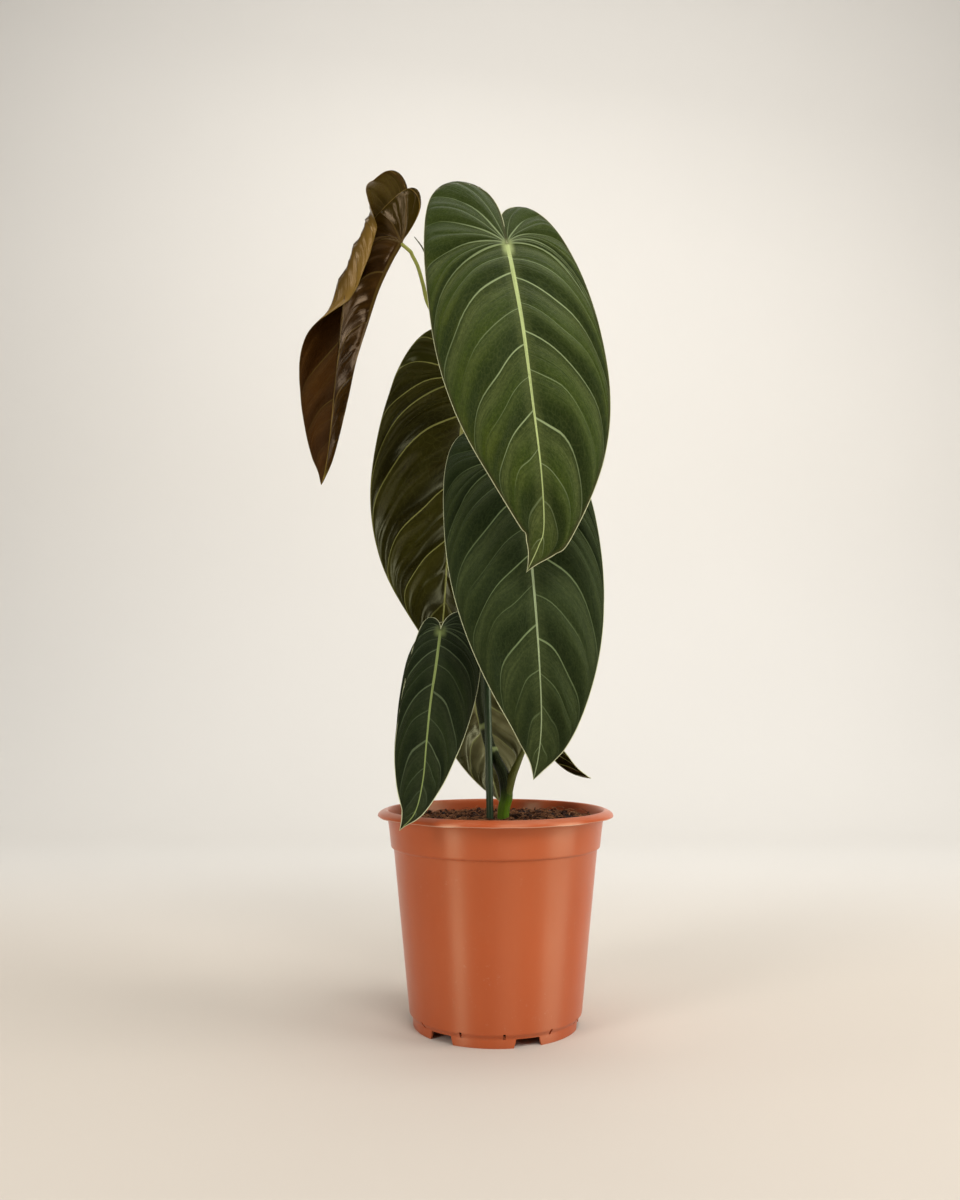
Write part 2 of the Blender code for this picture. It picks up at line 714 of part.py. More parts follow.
def main():
    """Build every piece."""
    for obj in list(bpy.data.objects):
        bpy.data.objects.remove(obj)
    group = collection("potted_philodendron")
    cutters = collection("cutters")

    vine = make_vine("stem", group)
    vine_cutter = make_vine("stem_cutter", cutters, extra=GAP)
    rod("support_stake", STAKE_FOOT, STAKE_TOP, STAKE_RADIUS, group, "stake_green")
    lower = STAKE_FOOT - (STAKE_TOP - STAKE_FOOT).normalized() * GAP
    stake_cutter = rod("stake_cutter", lower, STAKE_TOP, STAKE_RADIUS + GAP, cutters, "stake_green")
    for cutter in (vine_cutter, stake_cutter):
        cutter.hide_render = True
        cutter.display_type = "WIRE"

    make_pot(group, cutters)
    make_soil(group, vine_cutter, stake_cutter)

    for key, form in LEAVES.items():
        blade = Blade(form)
        make_blade(key, blade, group)
        cut(make_petiole(key, blade, group), vine_cutter)

    newest = Blade(LEAVES["new_bronze"])
    petiole_cutter = make_petiole("new_bronze", newest, cutters, extra=GAP, name="petiole_cutter")
    petiole_cutter.hide_render = True
    petiole_cutter.display_type = "WIRE"
    route = [tuple(value * MM for value in point[:3]) for point in SHEATH]
    sheath = tube("new_leaf_sheath", route, [point[3] * MM for point in SHEATH], group, "petiole_green", rings=3)
    cut(sheath, petiole_cutter)

    for number, height in enumerate(TIE_HEIGHTS, start=1):
        make_tie(number, height, group)

    for obj in list(group.objects) + list(cutters.objects):
        obj.data.transform(mathutils.Matrix.Translation(obj.matrix_world.inverted().to_3x3() @ POT_PLACE))


main()
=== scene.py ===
"""The looks of a potted philodendron melanochrysum.

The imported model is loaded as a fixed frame. Each class below dresses one sub-assembly: the leaves,
the stalks and vine, the stake and ties, the nursery pot, the potting mix and the studio. Sizes are
in metres unless a note or a name says millimetres. Everything is laid out round the pot's axis and
then moved to it.
"""

import logging
import math
from dataclasses import dataclass, field, replace
from enum import Enum
from typing import Callable, Sequence

import bmesh
import bpy
import numpy as np
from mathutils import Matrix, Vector, noise


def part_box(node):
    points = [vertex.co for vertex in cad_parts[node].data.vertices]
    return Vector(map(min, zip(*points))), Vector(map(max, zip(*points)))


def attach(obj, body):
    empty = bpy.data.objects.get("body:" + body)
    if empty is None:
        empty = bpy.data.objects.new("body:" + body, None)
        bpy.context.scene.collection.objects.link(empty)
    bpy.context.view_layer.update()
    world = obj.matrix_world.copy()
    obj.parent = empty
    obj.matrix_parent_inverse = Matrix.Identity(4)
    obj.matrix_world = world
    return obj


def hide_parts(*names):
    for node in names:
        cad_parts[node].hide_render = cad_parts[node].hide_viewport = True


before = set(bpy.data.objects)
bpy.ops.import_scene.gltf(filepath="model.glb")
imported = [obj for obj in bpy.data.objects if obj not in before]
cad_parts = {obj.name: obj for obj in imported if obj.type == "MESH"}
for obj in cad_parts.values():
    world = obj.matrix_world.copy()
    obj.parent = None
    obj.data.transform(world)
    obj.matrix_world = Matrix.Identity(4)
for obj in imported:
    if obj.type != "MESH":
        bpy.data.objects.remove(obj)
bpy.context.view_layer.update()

MM = 0.001
BODY = "root"
LOG = logging.getLogger("melanochrysum")
FINE_WELD = 0.00001
WIDE_WELD = 0.00002
BLOCK_FACES = ((0, 1, 3, 2), (4, 6, 7, 5), (0, 4, 5, 1), (2, 3, 7, 6), (0, 2, 6, 4), (1, 5, 7, 3))

Array = np.ndarray
Colour = tuple[float, float, float]
Socket = bpy.types.NodeSocket
Value = float | Socket


class Slot(Enum):
    """Material slots of the record."""

    POT = "pot_plastic"
    SOIL = "soil_mix"
    STAKE = "stake_green"
    TIE = "tie_green"
    VINE = "vine_green"
    PETIOLE = "petiole_green"
    LEAF = "leaf_green"
    BRONZE = "leaf_bronze"


class Side(Enum):
    """The halves of a blade, named as seen on its upper side with the tip down."""

    LEFT = 1.0
    RIGHT = -1.0


def unit(vectors: Array) -> Array:
    """Scale vectors to length one."""
    length = np.linalg.norm(vectors, axis=-1, keepdims=True)
    return vectors / np.maximum(length, 1e-12)


def smooth_line(points: Sequence[Sequence[float]], per_span: int = 60) -> Array:
    """Run a Catmull-Rom curve through points.

    Args:
        points: Places that the curve passes, in order.
        per_span: Steps between two of them.

    Returns:
        The places along the curve, one row each.
    """
    p = np.asarray(points, float)
    p = np.vstack([2 * p[0] - p[1], p, 2 * p[-1] - p[-2]])
    spans = []
    for i in range(len(p) - 3):
        last = i == len(p) - 4
        t = np.linspace(0.0, 1.0, per_span, endpoint=last)[:, None]
        a, b, c, d = p[i:i + 4]
        square = (2 * a - 5 * b + 4 * c - d) * t ** 2
        cube = (3 * b - a - 3 * c + d) * t ** 3
        spans.append(0.5 * (2 * b + (c - a) * t + square + cube))
    return np.vstack(spans)


def bell(value: Array, middle: float, width: float) -> Array:
    """Height of a bell curve that reaches 1 at its middle."""
    return np.exp(-((value - middle) / width) ** 2)


def grid_faces(grid: Array, closed: bool = False, flip: bool = False) -> Array:
    """Span a grid of point numbers with four-sided faces.

    Args:
        grid: Point numbers by row and column.
        closed: Whether the last column joins the first.
        flip: Whether the faces look the other way.

    Returns:
        Four point numbers for each face.
    """
    here, beside = (grid, np.roll(grid, -1, axis=1)) if closed else (grid[:, :-1], grid[:, 1:])
    corners = [here[:-1], beside[:-1], beside[1:], here[1:]]
    if flip:
        corners = [corners[i] for i in (0, 3, 2, 1)]
    return np.stack(corners, -1).reshape(-1, 4)


def keeled(_share: Array, angle: Array) -> Array:
    """Flatten the section of a sheath."""
    return 1.0 - 0.35 * np.abs(np.sin(angle))


def threaded(share: Array, angle: Array) -> Array:
    """Run a fine thread round a stake's coat."""
    return 1.0 + 0.012 * np.sin(share * 900.0 + angle)


def twisted(share: Array, angle: Array) -> Array:
    """Twist the section of a soft tie."""
    return 1.0 + 0.08 * np.sin(share * 260.0 + angle * 2.0)


class Shader:
    """A Principled material under construction, with short calls for the nodes it needs."""

    def __init__(self, name: str) -> None:
        """Start a material with only its Principled shader.

        Args:
            name: The material's name.
        """
        self.material = bpy.data.materials.new(name)
        self.material.use_nodes = True
        self.tree = self.material.node_tree
        self.principled = self.tree.nodes["Principled BSDF"]

    def node(self, kind: str) -> bpy.types.Node:
        """Add a node of a kind."""
        return self.tree.nodes.new(kind)

    def feed(self, socket: Socket, value: Value | Colour) -> None:
        """Link a socket's input, or set it to a constant.

        Args:
            socket: The input to fill.
            value: Another node's output, a number or a colour.
        """
        if isinstance(value, bpy.types.NodeSocket):
            self.tree.links.new(value, socket)
        elif isinstance(value, tuple) and len(socket.default_value) == 4:
            socket.default_value = (*value, 1.0)
        else:
            socket.default_value = value

    def number(self, name: str) -> Socket:
        """Read one of the mesh's own numbers.

        Args:
            name: The number's name.

        Returns:
            The number.
        """
        node = self.node("ShaderNodeAttribute")
        node.attribute_name = name
        return node.outputs["Fac"]

    def place(self) -> Socket:
        """Place on the object, in metres."""
        return self.node("ShaderNodeTexCoord").outputs["Object"]

    def axis(self, vector: Socket, name: str) -> Socket:
        """Take one axis of a vector.

        Args:
            vector: The vector.
            name: X, Y or Z.

        Returns:
            The number on that axis.
        """
        node = self.node("ShaderNodeSeparateXYZ")
        self.feed(node.inputs[0], vector)
        return node.outputs[name]

    def vector(self, x: Value, y: Value, z: Value = 0.0) -> Socket:
        """Join three numbers into a vector.

        Args:
            x: First number.
            y: Second number.
            z: Third number.

        Returns:
            The vector.
        """
        node = self.node("ShaderNodeCombineXYZ")
        for socket, value in zip(node.inputs, (x, y, z)):
            self.feed(socket, value)
        return node.outputs[0]

    def math(self, operation: str, a: Value, b: Value) -> Socket:
        """Work out a number from two others.

        Args:
            operation: The name of the operation.
            a: First number.
            b: Second number.

        Returns:
            The result.
        """
        node = self.node("ShaderNodeMath")
        node.operation = operation
        self.feed(node.inputs[0], a)
        self.feed(node.inputs[1], b)
        return node.outputs[0]

    def times(self, a: Value, b: Value) -> Socket:
        """Multiply two numbers."""
        return self.math("MULTIPLY", a, b)

    def span(self, value: Value, low: Value, high: Value, first: Value = 0.0, last: Value = 1.0) -> Socket:
        """Turn a range of numbers smoothly into another.

        Args:
            value: The number.
            low: Where the range starts.
            high: Where it ends.
            first: The result at its start.
            last: The result at its end.

        Returns:
            The result, which stays between first and last.
        """
        node = self.node("ShaderNodeMapRange")
        node.interpolation_type = "SMOOTHSTEP"
        names = ("Value", "From Min", "From Max", "To Min", "To Max")
        for name, item in zip(names, (value, low, high, first, last)):
            self.feed(node.inputs[name], item)
        return node.outputs[0]

    def mix(self, share: Value, a: Socket | Colour, b: Socket | Colour) -> Socket:
        """Mix two colours.

        Args:
            share: How much of the second.
            a: First colour.
            b: Second colour.

        Returns:
            The mixed colour.
        """
        node = self.node("ShaderNodeMix")
        node.data_type = "RGBA"
        self.feed(node.inputs[0], share)
        self.feed(node.inputs[6], a)
        self.feed(node.inputs[7], b)
        return node.outputs[2]

    def cloud(
        self, scale: float, detail: float = 3.0, at: Socket | None = None, rough: float = 0.5
    ) -> Socket:
        """Make soft noise from 0 to 1.

        Args:
            scale: Cells per metre, or per unit of the vector.
            detail: How many finer layers it has.
            at: Where it is read, or None for the place on the object.
            rough: How strong the finer layers are.

        Returns:
            The noise.
        """
        node = self.node("ShaderNodeTexNoise")
        node.inputs["Scale"].default_value = scale
        node.inputs["Detail"].default_value = detail
        node.inputs["Roughness"].default_value = rough
        self.feed(node.inputs["Vector"], at or self.place())
        return node.outputs["Fac"]

    def cells(self, scale: float, at: Socket | None = None, feature: str = "DISTANCE_TO_EDGE") -> Socket:
        """Measure distances within a net of cells.

        Args:
            scale: Cells per metre, or per unit of the vector.
            at: Where it is read, or None for the place on the object.
            feature: What is measured.

        Returns:
            The distance.
        """
        node = self.node("ShaderNodeTexVoronoi")
        node.feature = feature
        node.inputs["Scale"].default_value = scale
        self.feed(node.inputs["Vector"], at or self.place())
        return node.outputs["Distance"]

    def relief(self, height: Value, depth: float, under: Socket | None = None) -> Socket:
        """Bump the surface.

        Args:
            height: Height from 0 to 1.
            depth: What a height of 1 stands for, in metres.
            under: A relief that this one lies on.

        Returns:
            The normal.
        """
        node = self.node("ShaderNodeBump")
        node.inputs["Distance"].default_value = depth
        node.inputs["Strength"].default_value = 1.0
        self.feed(node.inputs["Height"], height)
        if under is not None:
            self.feed(node.inputs["Normal"], under)
        return node.outputs[0]

    def done(
        self, colour: Socket | Colour, rough: Value, normal: Socket | None = None, **fixed: Value | Colour
    ) -> bpy.types.Material:
        """Fill the Principled shader.

        Args:
            colour: Base colour.
            rough: Roughness.
            normal: Normal, if it has relief.
            **fixed: Other inputs by name, with _ for a space.

        Returns:
            The material.
        """
        self.feed(self.principled.inputs["Base Color"], colour)
        self.feed(self.principled.inputs["Roughness"], rough)
        if normal is not None:
            self.feed(self.principled.inputs["Normal"], normal)
        for name, value in fixed.items():
            self.feed(self.principled.inputs[name.replace("_", " ")], value)
        return self.material


@dataclass(frozen=True)
class UpperFinish:
    """The velvety upper side of a leaf, with sunken pale veins."""

    name: str
    deep: Colour
    bright: Colour
    warm: Colour
    # Colour of the painted sheen; also the real sheen's tint.
    painted_sheen_colour: Colour
    vein: Colour
    rib: Colour
    margin: Colour
    lobe: Colour
    blush: Colour
    roughness: float = 0.50
    velvet: float = 0.04
    gloss: float = 0.14
    shine: Colour = (0.85, 1.0, 0.45)
    rib_start: float = 1.9

    def make(self) -> bpy.types.Material:
        """Make the material.

        Returns:
            The material.
        """
        s = Shader(self.name)
        phase, out, along = s.number("phase"), s.number("out"), s.number("along")
        vein_mm, rib_mm, margin_mm = s.number("vein_mm"), s.number("rib_mm"), s.number("margin_mm")
        panel, painted_sheen_band = s.number("panel"), s.number("painted_sheen_band")
        streaks = s.cloud(3.0, 5.0, s.vector(s.times(phase, 9.0), s.times(out, 1.1)), 0.65)
        patches = s.cloud(26.0, 3.0)
        grain = s.cloud(900.0, 2.0)
        # Painted light and shade: the crowns of the panels are painted lighter and the lamina by the veins
        # and the margin darker, broken up by random patches of tone.
        lit = s.math("ADD", panel, s.math("SUBTRACT", patches, 0.5))
        body = s.mix(s.span(lit, 0.0, 0.9), self.deep, self.bright)
        warmth = s.times(s.span(patches, 0.40, 0.62), s.number("warm"))
        body = s.mix(warmth, body, self.warm)
        body = s.mix(s.span(streaks, 0.30, 0.52, 0.65, 0.0), body, self.deep)
        # Painted sheen: a pale, streaked band just below each side vein and a fainter one across the middle
        # of each panel.
        painted_sheen = s.times(painted_sheen_band, s.span(streaks, 0.30, 0.70, 0.25, 0.95))
        body = s.mix(painted_sheen, body, self.painted_sheen_colour)
        # Painted shade: the dip just above each side vein is painted dark.
        body = s.mix(s.number("painted_valley_shade"), body, self.deep)
        # Painted sheen: a pale glow on both sides of the midrib.
        painted_rib_sheen = s.times(s.span(rib_mm, 1.5, 9.0, 0.55, 0.0), s.span(streaks, 0.2, 0.7, 0.4, 1.0))
        body = s.mix(painted_rib_sheen, body, self.painted_sheen_colour)
        body = s.mix(s.span(along, 0.05, -0.12), body, self.lobe)
        # The pile grain and the fine net of lesser veins are the leaf's own texture, drawn in the sheen
        # colour.
        body = s.mix(s.span(grain, 0.3, 0.7, 0.0, 0.12), body, self.painted_sheen_colour)
        net = s.cells(3.2, s.vector(s.times(phase, 4.5), s.times(out, 7.0)))
        body = s.mix(s.span(net, 0.02, 0.16, 0.13, 0.0), body, self.painted_sheen_colour)
        body = s.mix(s.span(s.cloud(420.0, 3.0, None, 0.7), 0.42, 0.62, 0.28, 0.0), body, self.deep)
        lesser = s.span(s.number("lesser_mm"), 0.10, 0.50, 0.55, 0.0)
        body = s.mix(s.times(lesser, s.span(out, 0.75, 0.05)), body, self.vein)
        width = s.span(out, 0.0, 0.8, 0.85, 0.34)
        line = s.times(s.span(vein_mm, s.times(width, 0.4), width, 1.0, 0.0), s.number("bold"))
        body = s.mix(s.times(line, s.span(out, 0.05, 0.8, 1.0, 0.30)), body, self.vein)
        rib_width = s.span(along, -0.02, 0.95, self.rib_start, 0.42)
        rib = s.span(rib_mm, s.times(rib_width, 0.7), rib_width, 1.0, 0.0)
        hub = s.times(s.span(rib_mm, 1.0, 6.5, 0.75, 0.0), s.span(along, 0.02, 0.06, 1.0, 0.0))
        body = s.mix(s.math("MAXIMUM", rib, hub), body, self.rib)
        body = s.mix(s.span(margin_mm, 0.4, 3.0, 0.5, 0.0), body, self.blush)
        body = s.mix(s.span(margin_mm, 0.05, 0.45, 1.0, 0.0), body, self.margin)
        pile = s.relief(grain, 0.00005)
        surface = s.relief(s.span(net, 0.0, 0.16), 0.00008, pile)
        surface = s.relief(streaks, 0.0007, surface)
        rough = s.math("SUBTRACT", self.roughness, s.times(rib, 0.12))
        return s.done(
            body,
            rough,
            surface,
            Sheen_Weight=self.velvet,
            Sheen_Roughness=0.45,
            Sheen_Tint=self.painted_sheen_colour,
            Specular_IOR_Level=self.gloss,
            Specular_Tint=self.shine,
        )


@dataclass(frozen=True)
class UnderFinish:
    """The glossy underside of a leaf, with raised pale veins."""

    name: str
    deep: Colour
    bright: Colour
    vein: Colour
    margin: Colour
    lobe: Colour
    tip: Colour
    pale: Colour
    # Colour of the painted gloss bands.
    painted_sheen_colour: Colour = (0.048, 0.044, 0.008)
    roughness: float = 0.22
    gloss: float = 0.22
    shine: Colour = (1.0, 1.0, 0.60)
    ripple: float = 0.00016

    def make(self) -> bpy.types.Material:
        """Make the material.

        Returns:
            The material.
        """
        s = Shader(self.name)
        phase, out, along = s.number("phase"), s.number("out"), s.number("along")
        vein_mm, rib_mm, margin_mm = s.number("vein_mm"), s.number("rib_mm"), s.number("margin_mm")
        patches = s.cloud(30.0, 3.0)
        streaks = s.cloud(3.0, 4.0, s.vector(s.times(phase, 4.0), s.times(out, 1.5)), 0.6)
        net = s.cells(3.0, s.vector(s.times(phase, 4.5), s.times(out, 7.0)))
        body = s.mix(s.span(patches, 0.35, 0.7), self.deep, self.bright)
        body = s.mix(s.span(streaks, 0.4, 0.7, 0.0, 0.35), body, self.bright)
        # Painted highlight: a broad band of pale gloss just below each side vein.
        painted_sheen = s.times(s.number("painted_sheen_band"), s.span(streaks, 0.25, 0.65, 0.15, 0.6))
        body = s.mix(painted_sheen, body, self.painted_sheen_colour)
        # Painted shade: the dip just above each side vein is painted dark.
        body = s.mix(s.number("painted_valley_shade"), body, self.deep)
        body = s.mix(s.number("pale"), body, self.pale)
        body = s.mix(s.span(net, 0.0, 0.08, 0.05, 0.0), body, self.vein)
        body = s.mix(s.span(along, 0.05, -0.12), body, self.lobe)
        body = s.mix(s.span(along, 0.92, 1.0), body, self.tip)
        width = s.span(out, 0.0, 0.95, 0.80, 0.36)
        line = s.times(s.span(vein_mm, s.times(width, 0.55), width, 1.0, 0.0), s.number("bold"))
        body = s.mix(s.times(line, s.span(out, 0.3, 1.0, 0.9, 0.45)), body, self.vein)
        rib_width = s.span(along, 0.0, 0.95, 1.9, 0.7)
        rib = s.span(rib_mm, s.times(rib_width, 0.7), rib_width, 1.0, 0.0)
        body = s.mix(rib, body, self.vein)
        body = s.mix(s.span(margin_mm, 0.05, 0.5, 1.0, 0.0), body, self.margin)
        surface = s.relief(s.cloud(700.0, 2.0), 0.00002)
        surface = s.relief(s.span(net, 0.0, 0.12), -0.00001, surface)
        surface = s.relief(streaks, self.ripple, surface)
        rough = s.math("ADD", s.span(patches, 0.3, 0.7, -0.03, 0.08), self.roughness)
        return s.done(body, rough, surface, Specular_IOR_Level=self.gloss, Specular_Tint=self.shine)


@dataclass(frozen=True)
class LeafFinish:
    """Both sides of one kind of leaf."""

    upper: UpperFinish
    under: UnderFinish


@dataclass(frozen=True)
class StalkFinish:
    """A smooth green stalk, vine or sheath, whose colour changes with height or along it."""

    name: str
    low: Colour
    high: Colour
    streak: Colour
    start: float
    end: float
    by_height: bool = False
    roughness: float = 0.42
    gloss: float = 0.30
    shine: Colour = (0.90, 1.0, 0.70)
    ring: Colour = (0.30, 0.36, 0.14)

    def make(self) -> bpy.types.Material:
        """Make the material.

        Returns:
            The material.
        """
        s = Shader(self.name)
        along, around = s.number("along"), s.number("around")
        where = s.axis(s.place(), "Z") if self.by_height else along
        body = s.mix(s.span(where, self.start, self.end), self.low, self.high)
        ribs = s.cloud(2.0, 3.0, s.vector(s.times(around, 9.0), s.times(along, 4.0)), 0.6)
        specks = s.cells(420.0, None, "F1")
        body = s.mix(s.span(ribs, 0.4, 0.7, 0.0, 0.45), body, self.streak)
        body = s.mix(s.span(specks, 0.16, 0.26, 0.35, 0.0), body, self.streak)
        body = s.mix(s.times(s.number("ring"), 0.75), body, self.ring)
        surface = s.relief(ribs, 0.0005)
        surface = s.relief(s.span(specks, 0.12, 0.3), -0.00012, surface)
        rough = s.span(s.cloud(300.0), 0.3, 0.7, self.roughness - 0.05, self.roughness + 0.08)
        return s.done(body, rough, surface, Specular_IOR_Level=self.gloss, Specular_Tint=self.shine)


@dataclass(frozen=True)
class MouldedFinish:
    """Moulded or coated plastic: a nearly even colour with faint flow marks, scuffs and dust."""

    name: str
    colour: Colour
    flow: Colour
    dust: Colour
    roughness: float
    dust_share: float = 0.12
    pebble: float = 0.00004
    brushed: float = 0.0
    gloss: float = 0.5
    shine: Colour = (1.0, 1.0, 1.0)

    def make(self) -> bpy.types.Material:
        """Make the material.

        Returns:
            The material.
        """
        s = Shader(self.name)
        place = s.place()
        tall = s.vector(
            s.times(s.axis(place, "X"), 22.0),
            s.times(s.axis(place, "Y"), 22.0),
            s.times(s.axis(place, "Z"), 3.0),
        )
        flow = s.cloud(1.0, 4.0, tall, 0.55)
        cloudy = s.cloud(18.0, 4.0)
        scuffs = s.cloud(240.0, 4.0, None, 0.7)
        grain = s.cloud(1400.0, 2.0)
        body = s.mix(s.span(flow, 0.35, 0.68, 0.0, 0.7), self.colour, self.flow)
        dust = s.times(s.span(scuffs, 0.60, 0.74), s.span(cloudy, 0.45, 0.7, 0.15, 1.0))
        body = s.mix(s.times(dust, self.dust_share), body, self.dust)
        body = s.mix(s.times(s.number("edge"), 0.55), body, self.dust)
        rough = s.math("ADD", s.span(cloudy, 0.3, 0.7, -0.03, 0.06), s.times(dust, 0.12))
        surface = s.relief(grain, self.pebble)
        surface = s.relief(cloudy, 0.0004, surface)
        return s.done(
            body,
            s.math("ADD", rough, self.roughness),
            surface,
            Specular_IOR_Level=self.gloss,
            Specular_Tint=self.shine,
            Anisotropic=self.brushed,
            Anisotropic_Rotation=0.25,
        )


@dataclass(frozen=True)
class EarthFinish:
    """Crumbly matt matter: potting mix, bark and fibres."""

    name: str
    dark: Colour
    light: Colour
    scale: float = 300.0

    def make(self) -> bpy.types.Material:
        """Make the material.

        Returns:
            The material.
        """
        s = Shader(self.name)
        crumbs = s.cells(self.scale, None, "F1")
        clumps = s.cloud(self.scale * 0.25, 5.0, None, 0.65)
        body = s.mix(s.span(clumps, 0.35, 0.68), self.dark, self.light)
        body = s.mix(s.span(crumbs, 0.0, 0.5, 0.5, 0.0), body, self.dark)
        own = s.number("tone")
        body = s.mix(s.span(own, 0.0, 1.0, 0.0, 0.65), body, self.light)
        surface = s.relief(crumbs, 0.0012)
        surface = s.relief(s.cloud(self.scale * 3.0, 4.0), 0.0005, surface)
        return s.done(body, s.span(clumps, 0.3, 0.7, 0.82, 0.98), surface, Specular_IOR_Level=0.25)


def new_object(
    name: str, mesh: bpy.types.Mesh, finishes: Sequence[bpy.types.Material]
) -> bpy.types.Object:
    """Put a mesh in the scene, shaded smooth.

    Args:
        name: The piece's name.
        mesh: Its mesh.
        finishes: Its materials, in the order of its material numbers.

    Returns:
        The object.
    """
    piece = bpy.data.objects.new(name, mesh)
    bpy.context.scene.collection.objects.link(piece)
    for material in finishes:
        mesh.materials.append(material)
    mesh.polygons.foreach_set("use_smooth", np.ones(len(mesh.polygons), bool))
    mesh.update()
    return piece


def mesh_of(name: str, places: Array, faces: Array, numbers: dict[str, Array]) -> bpy.types.Mesh:
    """Make a mesh of arrays.

    Args:
        name: The mesh's name.
        places: One row for each point.
        faces: Four point numbers for each face.
        numbers: Own numbers of the points, by name.

    Returns:
        The mesh.
    """
    mesh = bpy.data.meshes.new(name)
    mesh.from_pydata([tuple(p) for p in places.tolist()], [], faces.tolist())
    for key, values in numbers.items():
        layer = mesh.attributes.new(key, "FLOAT", "POINT")
        layer.data.foreach_set("value", np.ascontiguousarray(values, np.float32))
    return mesh


def weld(mesh: bpy.types.Mesh, distance: float) -> None:
    """Join points that lie together and drop faces that fall flat.

    Args:
        mesh: The mesh, which is changed.
        distance: How near the points are that count as one.
    """
    shape = bmesh.new()
    shape.from_mesh(mesh)
    bmesh.ops.remove_doubles(shape, verts=shape.verts, dist=distance)
    bmesh.ops.dissolve_degenerate(shape, edges=shape.edges, dist=distance * 0.5)
    shape.to_mesh(mesh)
    shape.free()


@dataclass
class Assembly:
    """A sub-assembly that fastens its pieces to the frame and reports them."""

    axis: Vector

    def keep(self, piece: bpy.types.Object, slot: Slot, *nodes: str) -> None:
        """Fasten a piece to the frame and report it.

        Args:
            piece: The piece, built round the pot's axis.
            slot: The record's slot for the piece. It is not used.
            *nodes: The frame's nodes that it stands for.
        """
        moved = np.empty(len(piece.data.vertices) * 3, np.float32)
        piece.data.vertices.foreach_get("co", moved)
        moved = (moved.reshape(-1, 3) + np.array(self.axis, np.float32)).ravel()
        piece.data.vertices.foreach_set("co", moved)
        piece.data.update()
        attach(piece, BODY)
        if nodes:
            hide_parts(*nodes)
        LOG.info("%s: %d faces", piece.name, len(piece.data.polygons))


@dataclass(frozen=True)
class Half:
    """One half of a blade: its outline and how it bends across.

    Attributes:
        width: Greatest distance from the midrib, in metres.
        widest: Where it is widest, as a share of the blade's length.
        lobe: How far its lobe reaches back, in metres.
        lobe_x: How far out the lobe ends, as a share of the width.
        taper: How soon it narrows to the tip.
        curl: How far its lobe curls back, in degrees.
        bends: By share of the length, the fold at the midrib and the roll to the margin in degrees.
        splay: How far the lobe leans out as it reaches back.
        bulge: How much fuller the lobe is, in metres.
        painted_sheen: How strongly its painted sheen and warm patches show. Below 1 it paints the half
            darker, as painted shade.
        pale: How pale its underside is towards the margin.
        roll_from: Where the roll starts, as a share of the width.
        roll_to: Where the roll ends. Without one the half rolls evenly.
    """

    width: float
    widest: float
    lobe: float
    lobe_x: float
    taper: float
    curl: float
    bends: tuple[tuple[float, float, float], ...]
    splay: float = 0.0
    bulge: float = 0.0
    painted_sheen: float = 1.0
    pale: float = 0.0
    roll_from: float = 0.0
    roll_to: float = 0.0

    def rolled(self, out: Array) -> Array:
        """Find how far the half has rolled over at distances from the midrib.

        Args:
            out: Distances out from the midrib.

        Returns:
            Shares of the roll.
        """
        share = np.clip(out / self.width, 0.0, None)
        if self.roll_to <= self.roll_from:
            return share
        turn = np.clip((share - self.roll_from) / (self.roll_to - self.roll_from), 0.0, 1.0)
        return turn * turn * (3.0 - 2.0 * turn)


PLAIN = ((-0.2, -5, 35), (0.5, -8, 36), (1.0, -5, 20))


@dataclass(frozen=True)
class Relief:
    """Low relief of a blade, and the bands of painted sheen and painted shade on its panels. Places and
    widths across a panel are shares of the way between two veins.
    """

    rise: float = 0.145
    rise_limit: float = 5.0
    rest: float = 0.42
    lesser_depth: float = 0.36
    lesser_width: float = 0.07
    ripple: float = 0.05
    groove: float = 0.9 * MM
    groove_width_mm: float = 3.4
    rib_top_width_mm: float = 1.4
    rib_width_mm: float = 1.7
    vein_depth: float = 0.55 * MM
    vein_width_mm: float = 0.75
    # Painted sheen: a band just below each side vein and a fainter second one mid-panel.
    painted_sheen_at: float = 0.15
    painted_sheen_width: float = 0.14
    painted_mid_sheen: float = 0.6
    painted_mid_sheen_at: float = 0.60
    painted_mid_sheen_width: float = 0.08
    # Painted shade: a dark band in the dip just above each side vein.
    painted_valley_shade: float = 0.94
    painted_valley_shade_at: float = 0.86
    painted_valley_shade_width: float = 0.18
    warmth: float = 0.8


